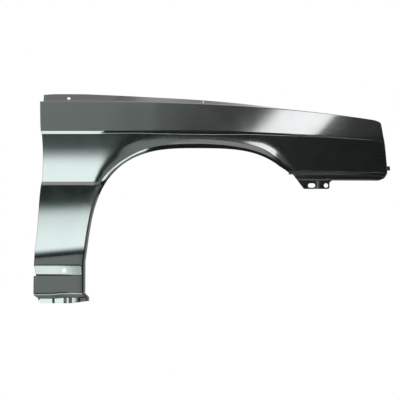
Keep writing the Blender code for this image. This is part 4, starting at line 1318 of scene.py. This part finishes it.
@dataclass(frozen=True)
class Studio:
    """Floor, world and lights around the hanging panel."""

    floor_drop: float = 0.50
    floor_radius: float = 2.0
    floor_sides: int = 96
    # How bright the white room lights where it is neither seen nor mirrored.
    ambient: float = 0.75
    # The dark cloth is painted shade: a faint teal glow, seen only in reflections, standing for the shaded
    # room in front.
    flag_grey: float = 0.05
    flag_colour: str = "#C8E6E0"
    flag_distance: float = 14.0
    flag_azimuths: tuple[float, float] = (-100.0, 100.0)
    flag_elevations: tuple[float, float] = (-89.0, 89.0)
    softboxes: tuple[Softbox, ...] = (
        Softbox("key_softbox", (9.8, 42.4), (12.0, 34.0), 11.0, (0.21, 0.14, 0.1, 0.1),
                slants=(0.5, 1.1), colour="#FBFFFF"),
        Softbox("low_softbox", (-60.0, 25.0), (-52.0, -8.0), 10.5, (0.15, 0.1, 0.1, 0.5),
                colour="#F0FFFD", lights_diffuse=False),
        Softbox("low_side_sail", (15.0, 75.0), (-52.0, -16.0), 0.8, (0.1, 0.1, 0.1, 0.2),
                lights_diffuse=False),
        Softbox("teal_sail", (-75.0, 4.0), (-24.0, -4.0), 0.5, (0.1, 0.1, 0.1, 0.2),
                colour="#BEE8DC", lights_diffuse=False),
        Softbox("grey_sail", (-75.0, 0.4), (1.0, 50.0), 1.5, (0.1, 0.075, 0.06, 0.1),
                colour="#F0FFF6"),
        Softbox("rim_sail", (-60.0, 75.0), (38.0, 66.0), 2.2, (0.1, 0.15, 0.25, 0.25)),
        Softbox("dim_sail", (-20.0, 70.0), (5.0, 44.0), 0.22, (0.1, 0.1, 0.15, 0.1)),
        Softbox("ceiling_sail", (-85.0, 15.0), (52.0, 118.0), 1.4, (0.05, 0.1, 0.1, 0.33)),
    )

    def world(self) -> None:
        """Fill the world: pure white where it is seen, softer where it only lights."""
        world = bpy.data.worlds.new("white_room")
        world.use_nodes = True
        tree = world.node_tree
        tree.nodes.clear()
        path = add_node(tree, "ShaderNodeLightPath")
        seen = path.outputs["Is Camera Ray"]
        for name in ("Is Glossy Ray", "Is Transmission Ray"):
            seen = add_node(tree, "ShaderNodeMath", {"operation": "MAXIMUM"}, {
                0: seen, 1: path.outputs[name]}).outputs[0]
        level = add_node(tree, "ShaderNodeMapRange", {}, {
            "Value": seen, "To Min": self.ambient, "To Max": 1.0})
        back = add_node(tree, "ShaderNodeBackground", {}, {
            "Color": (1.0, 1.0, 1.0, 1.0), "Strength": level.outputs["Result"]})
        add_node(tree, "ShaderNodeOutputWorld", {}, {"Surface": back.outputs[0]})
        bpy.context.scene.world = world

    def floor(self, box: tuple[Vector, Vector]) -> None:
        """Lay the floor below the panel, out of the main view."""
        mesh = bmesh.new()
        bmesh.ops.create_circle(mesh, cap_ends=True, segments=self.floor_sides,
                                radius=self.floor_radius)
        board = settled("studio_floor", mesh)
        board.data.materials.append(PaleFloor().build())
        middle = (box[0] + box[1]) / 2.0
        board.location = (middle.x, middle.y, box[0].z - self.floor_drop)
        board.visible_glossy = False

    def flag(self, centre: Vector) -> None:
        """Hang the dark cloth that the front of the panel mirrors between the lights, painted as a faint
        teal glow.
        """
        cloth = Softbox("dark_cloth", self.flag_azimuths, self.flag_elevations, self.flag_grey,
                        distance=self.flag_distance, lights_diffuse=False)
        hung = cloth.build(centre)
        # The cloth's own dim light is painted as emission, not lit by the lamps.
        material, tree = new_tree("dark_cloth_painted_glow")
        glow = add_node(tree, "ShaderNodeEmission", {}, {
            "Color": linear(self.flag_colour), "Strength": self.flag_grey})
        add_node(tree, "ShaderNodeOutputMaterial", {}, {"Surface": glow.outputs[0]})
        hung.data.materials[0] = material
        hung.visible_transmission = False

    def build(self, box: tuple[Vector, Vector]) -> None:
        """Set up the whole studio around a box."""
        centre = (box[0] + box[1]) / 2.0
        self.world()
        self.floor(box)
        self.flag(centre)
        for softbox in self.softboxes:
            softbox.build(centre)
            LOG.info("light %s at radiance %.1f", softbox.name, softbox.radiance)


@dataclass(frozen=True)
class Viewpoint:
    """Camera square on to the outer face, level with the middle of the picture."""

    distance: float = 8.0
    centre_x: float = 0.0
    centre_z: float = 0.186
    lens: float = 240.0
    sensor: float = 36.0

    def build(self, datum: Point) -> None:
        """Place the camera in front of the panel."""
        data = bpy.data.cameras.new("camera")
        data.lens, data.sensor_width = self.lens, self.sensor
        camera = linked("camera", data)
        camera.location = Vector((self.centre_x, -self.distance, self.centre_z)) - Vector(datum)
        camera.rotation_euler = (math.radians(90.0), 0.0, 0.0)
        bpy.context.scene.camera = camera


@dataclass(frozen=True)
class FenderPanel:
    """The whole pressing: skin, bead, ribs, flanges and punched holes in one sheet."""

    thickness: float = 0.0008
    weld: float = 0.00002
    sharp_angle: float = math.radians(25.0)
    groove_end: float = 0.985
    groove_hole_ahead: float = 0.0940
    hole_diameter: float = 0.0130
    bracket_slot_ahead: float = 0.0430
    bracket_slot_width: float = 0.0220
    bracket_hole_ahead: float = 0.0871
    bracket_hole_rise: float = 0.0105
    lug_reach: float = 0.0100
    lug_setback: float = 0.0060
    lug_steps: int = 4
    hood_margin: int = 3
    grid: MainSkin = MainSkin()
    bead: ArchBead = ArchBead()
    foot: FrontFoot = FrontFoot()
    hood: HoodFlange = HoodFlange()
    sill: SillFlange = SillFlange()
    rear_return: EdgeReturn = EdgeReturn(Edge.REAR, roll=0.0014, depth=0.0130)
    front_return: EdgeReturn = EdgeReturn(Edge.FRONT, roll=0.0030, depth=0.0135, lean=0.0060)

    def bead_stations(self, leg: list[Row]) -> list[Row]:
        """Return the sections of the bead from the ribs round the arch and down the leg."""
        stations = self.foot.bead_end()
        count = self.grid.arch_columns
        for i in range(count, 0, -1):
            angle = lerp(self.grid.joint_angle, self.grid.front_angle, i / count)
            stations.append(self.bead.section(angle))
        arch = self.grid.lines.arch
        for row in leg:
            z = row[-1][2]
            stations.append(self.bead.section(arch.rear_angle(z)) if z > 0.0
                            else self.bead.section(math.pi, z))
        return stations

    def add_lug(self, sheet: Sheet, flange: list[Row], bottom: int) -> None:
        """Add the lug that reaches forward from the front return flange.

        Args:
            sheet: The sheet it is part of.
            flange: Rows of the return flange.
            bottom: Place of the foot crease along those rows.
        """
        root = flange[-1][bottom - sum(self.grid.mid_rows[2:]):bottom + 1]
        lean = self.front_return.lean + self.lug_reach
        tip = [(x + lean, y + self.lug_setback, z) for x, y, z in root]
        sheet.patch([[mix_points(a, b, k / self.lug_steps) for a, b in zip(root, tip)]
                     for k in range(self.lug_steps + 1)])

    def sheet(self) -> bmesh.types.BMesh:
        """Return the outer face of the whole pressing."""
        sheet = Sheet()
        columns = self.grid.columns()
        body = transposed(column[1:] for column in columns)
        sheet.patch(body)
        leg = self.grid.leg(self.groove_end)
        sheet.patch(leg)
        stations = self.bead_stations(leg)
        sheet.patch(transposed(stations))
        ribs = self.foot.lay(sheet)
        self.hood.lay(sheet, columns, self.grid.leg_shares.index(self.grid.leg_stations[1]),
                      len(columns) - self.hood_margin)
        sheet.patch(self.rear_return.rows([row[0] for row in body + leg[1:]]))
        front = [row[-1] for row in body + ribs[1:-self.foot.bare_rows]]
        flange = self.front_return.rows(front)
        sheet.patch(flange)
        self.add_lug(sheet, flange, len(body) - 1)
        self.sill.lay(sheet, leg[-1] + stations[-1][1:-1])
        return sheet.mesh(self.weld)

    def punches(self) -> list[Punch]:
        """Return the holes and slots of the pressing."""
        hood, lines, skin = self.hood, self.grid.lines, self.grid.skin
        hole_x = lines.rear_end + hood.hole_ahead
        made = [Punch(hood.slope_point(hole_x, hood.hole_up), hood.slope_normal(hole_x),
                      hood.hole_diameter, hood.hole_diameter),
                Punch(hood.slope_point(hood.slot_x, hood.slot_up), hood.slope_normal(hood.slot_x),
                      hood.slot_length, hood.slot_width, Facing.UPRIGHT)]
        flat = Vector((0.0, -1.0, 0.0))
        total = self.foot.ribs[-1][0]
        z = lines.foot_z - total - self.foot.bracket_drop + self.bracket_hole_rise
        for ahead, length in ((self.bracket_slot_ahead, self.bracket_slot_width),
                              (self.bracket_hole_ahead, self.hole_diameter)):
            x = self.foot.cut_x(total) + ahead
            centre = (x, skin.sweep(x, z) + skin.section(x, lines.foot_z), z)
            made.append(Punch(centre, flat, length, self.hole_diameter))
        x, z = lines.rear_end + self.groove_hole_ahead, lines.groove_top - lines.groove_height / 2.0
        made.append(Punch((x, skin.depth(x, z, 1.0), z), flat, self.hole_diameter, self.hole_diameter))
        return made

    def cutter(self, shift: Vector) -> bpy.types.Object:
        """Return all punches as one hidden object."""
        mesh = bmesh.new()
        for punch in self.punches():
            punch.add_to(mesh)
        bmesh.ops.translate(mesh, verts=mesh.verts, vec=shift)
        return settled("punches", mesh)

    def build(self) -> None:
        """Build the finished panel, which stands for the solid."""
        shift = -Vector(self.hood.datum())
        mesh = self.sheet()
        bmesh.ops.translate(mesh, verts=mesh.verts, vec=shift)
        panel = settled("pressed_panel", mesh)
        bare = panel.data
        wall = panel.modifiers.new("thickness", "SOLIDIFY")
        wall.thickness, wall.offset, wall.use_even_offset = self.thickness, -1.0, True
        tool = self.cutter(shift)
        cut = panel.modifiers.new("holes", "BOOLEAN")
        cut.operation, cut.solver, cut.object = "DIFFERENCE", "EXACT", tool
        graph = bpy.context.evaluated_depsgraph_get()
        whole = bpy.data.meshes.new_from_object(panel.evaluated_get(graph))
        panel.modifiers.clear()
        panel.data = whole
        bpy.data.meshes.remove(bare)
        bpy.data.objects.remove(tool)
        whole.shade_smooth()
        whole.set_sharp_from_angle(angle=self.sharp_angle)
        whole.materials.clear()
        whole.materials.append(ElectroCoat().build())
        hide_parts(NODE)
        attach(panel, "root")
        LOG.info("piece %s: %d faces", panel.name, len(whole.polygons))


def main() -> None:
    """Build the panel, the studio and the camera."""
    logging.basicConfig(level=logging.INFO, format="%(message)s")
    panel = FenderPanel()
    panel.build()
    Studio().build(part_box(NODE))
    Viewpoint().build(panel.hood.datum())
    bpy.context.scene.view_settings.view_transform = "Standard"


if __name__ == "__main__":
    main()
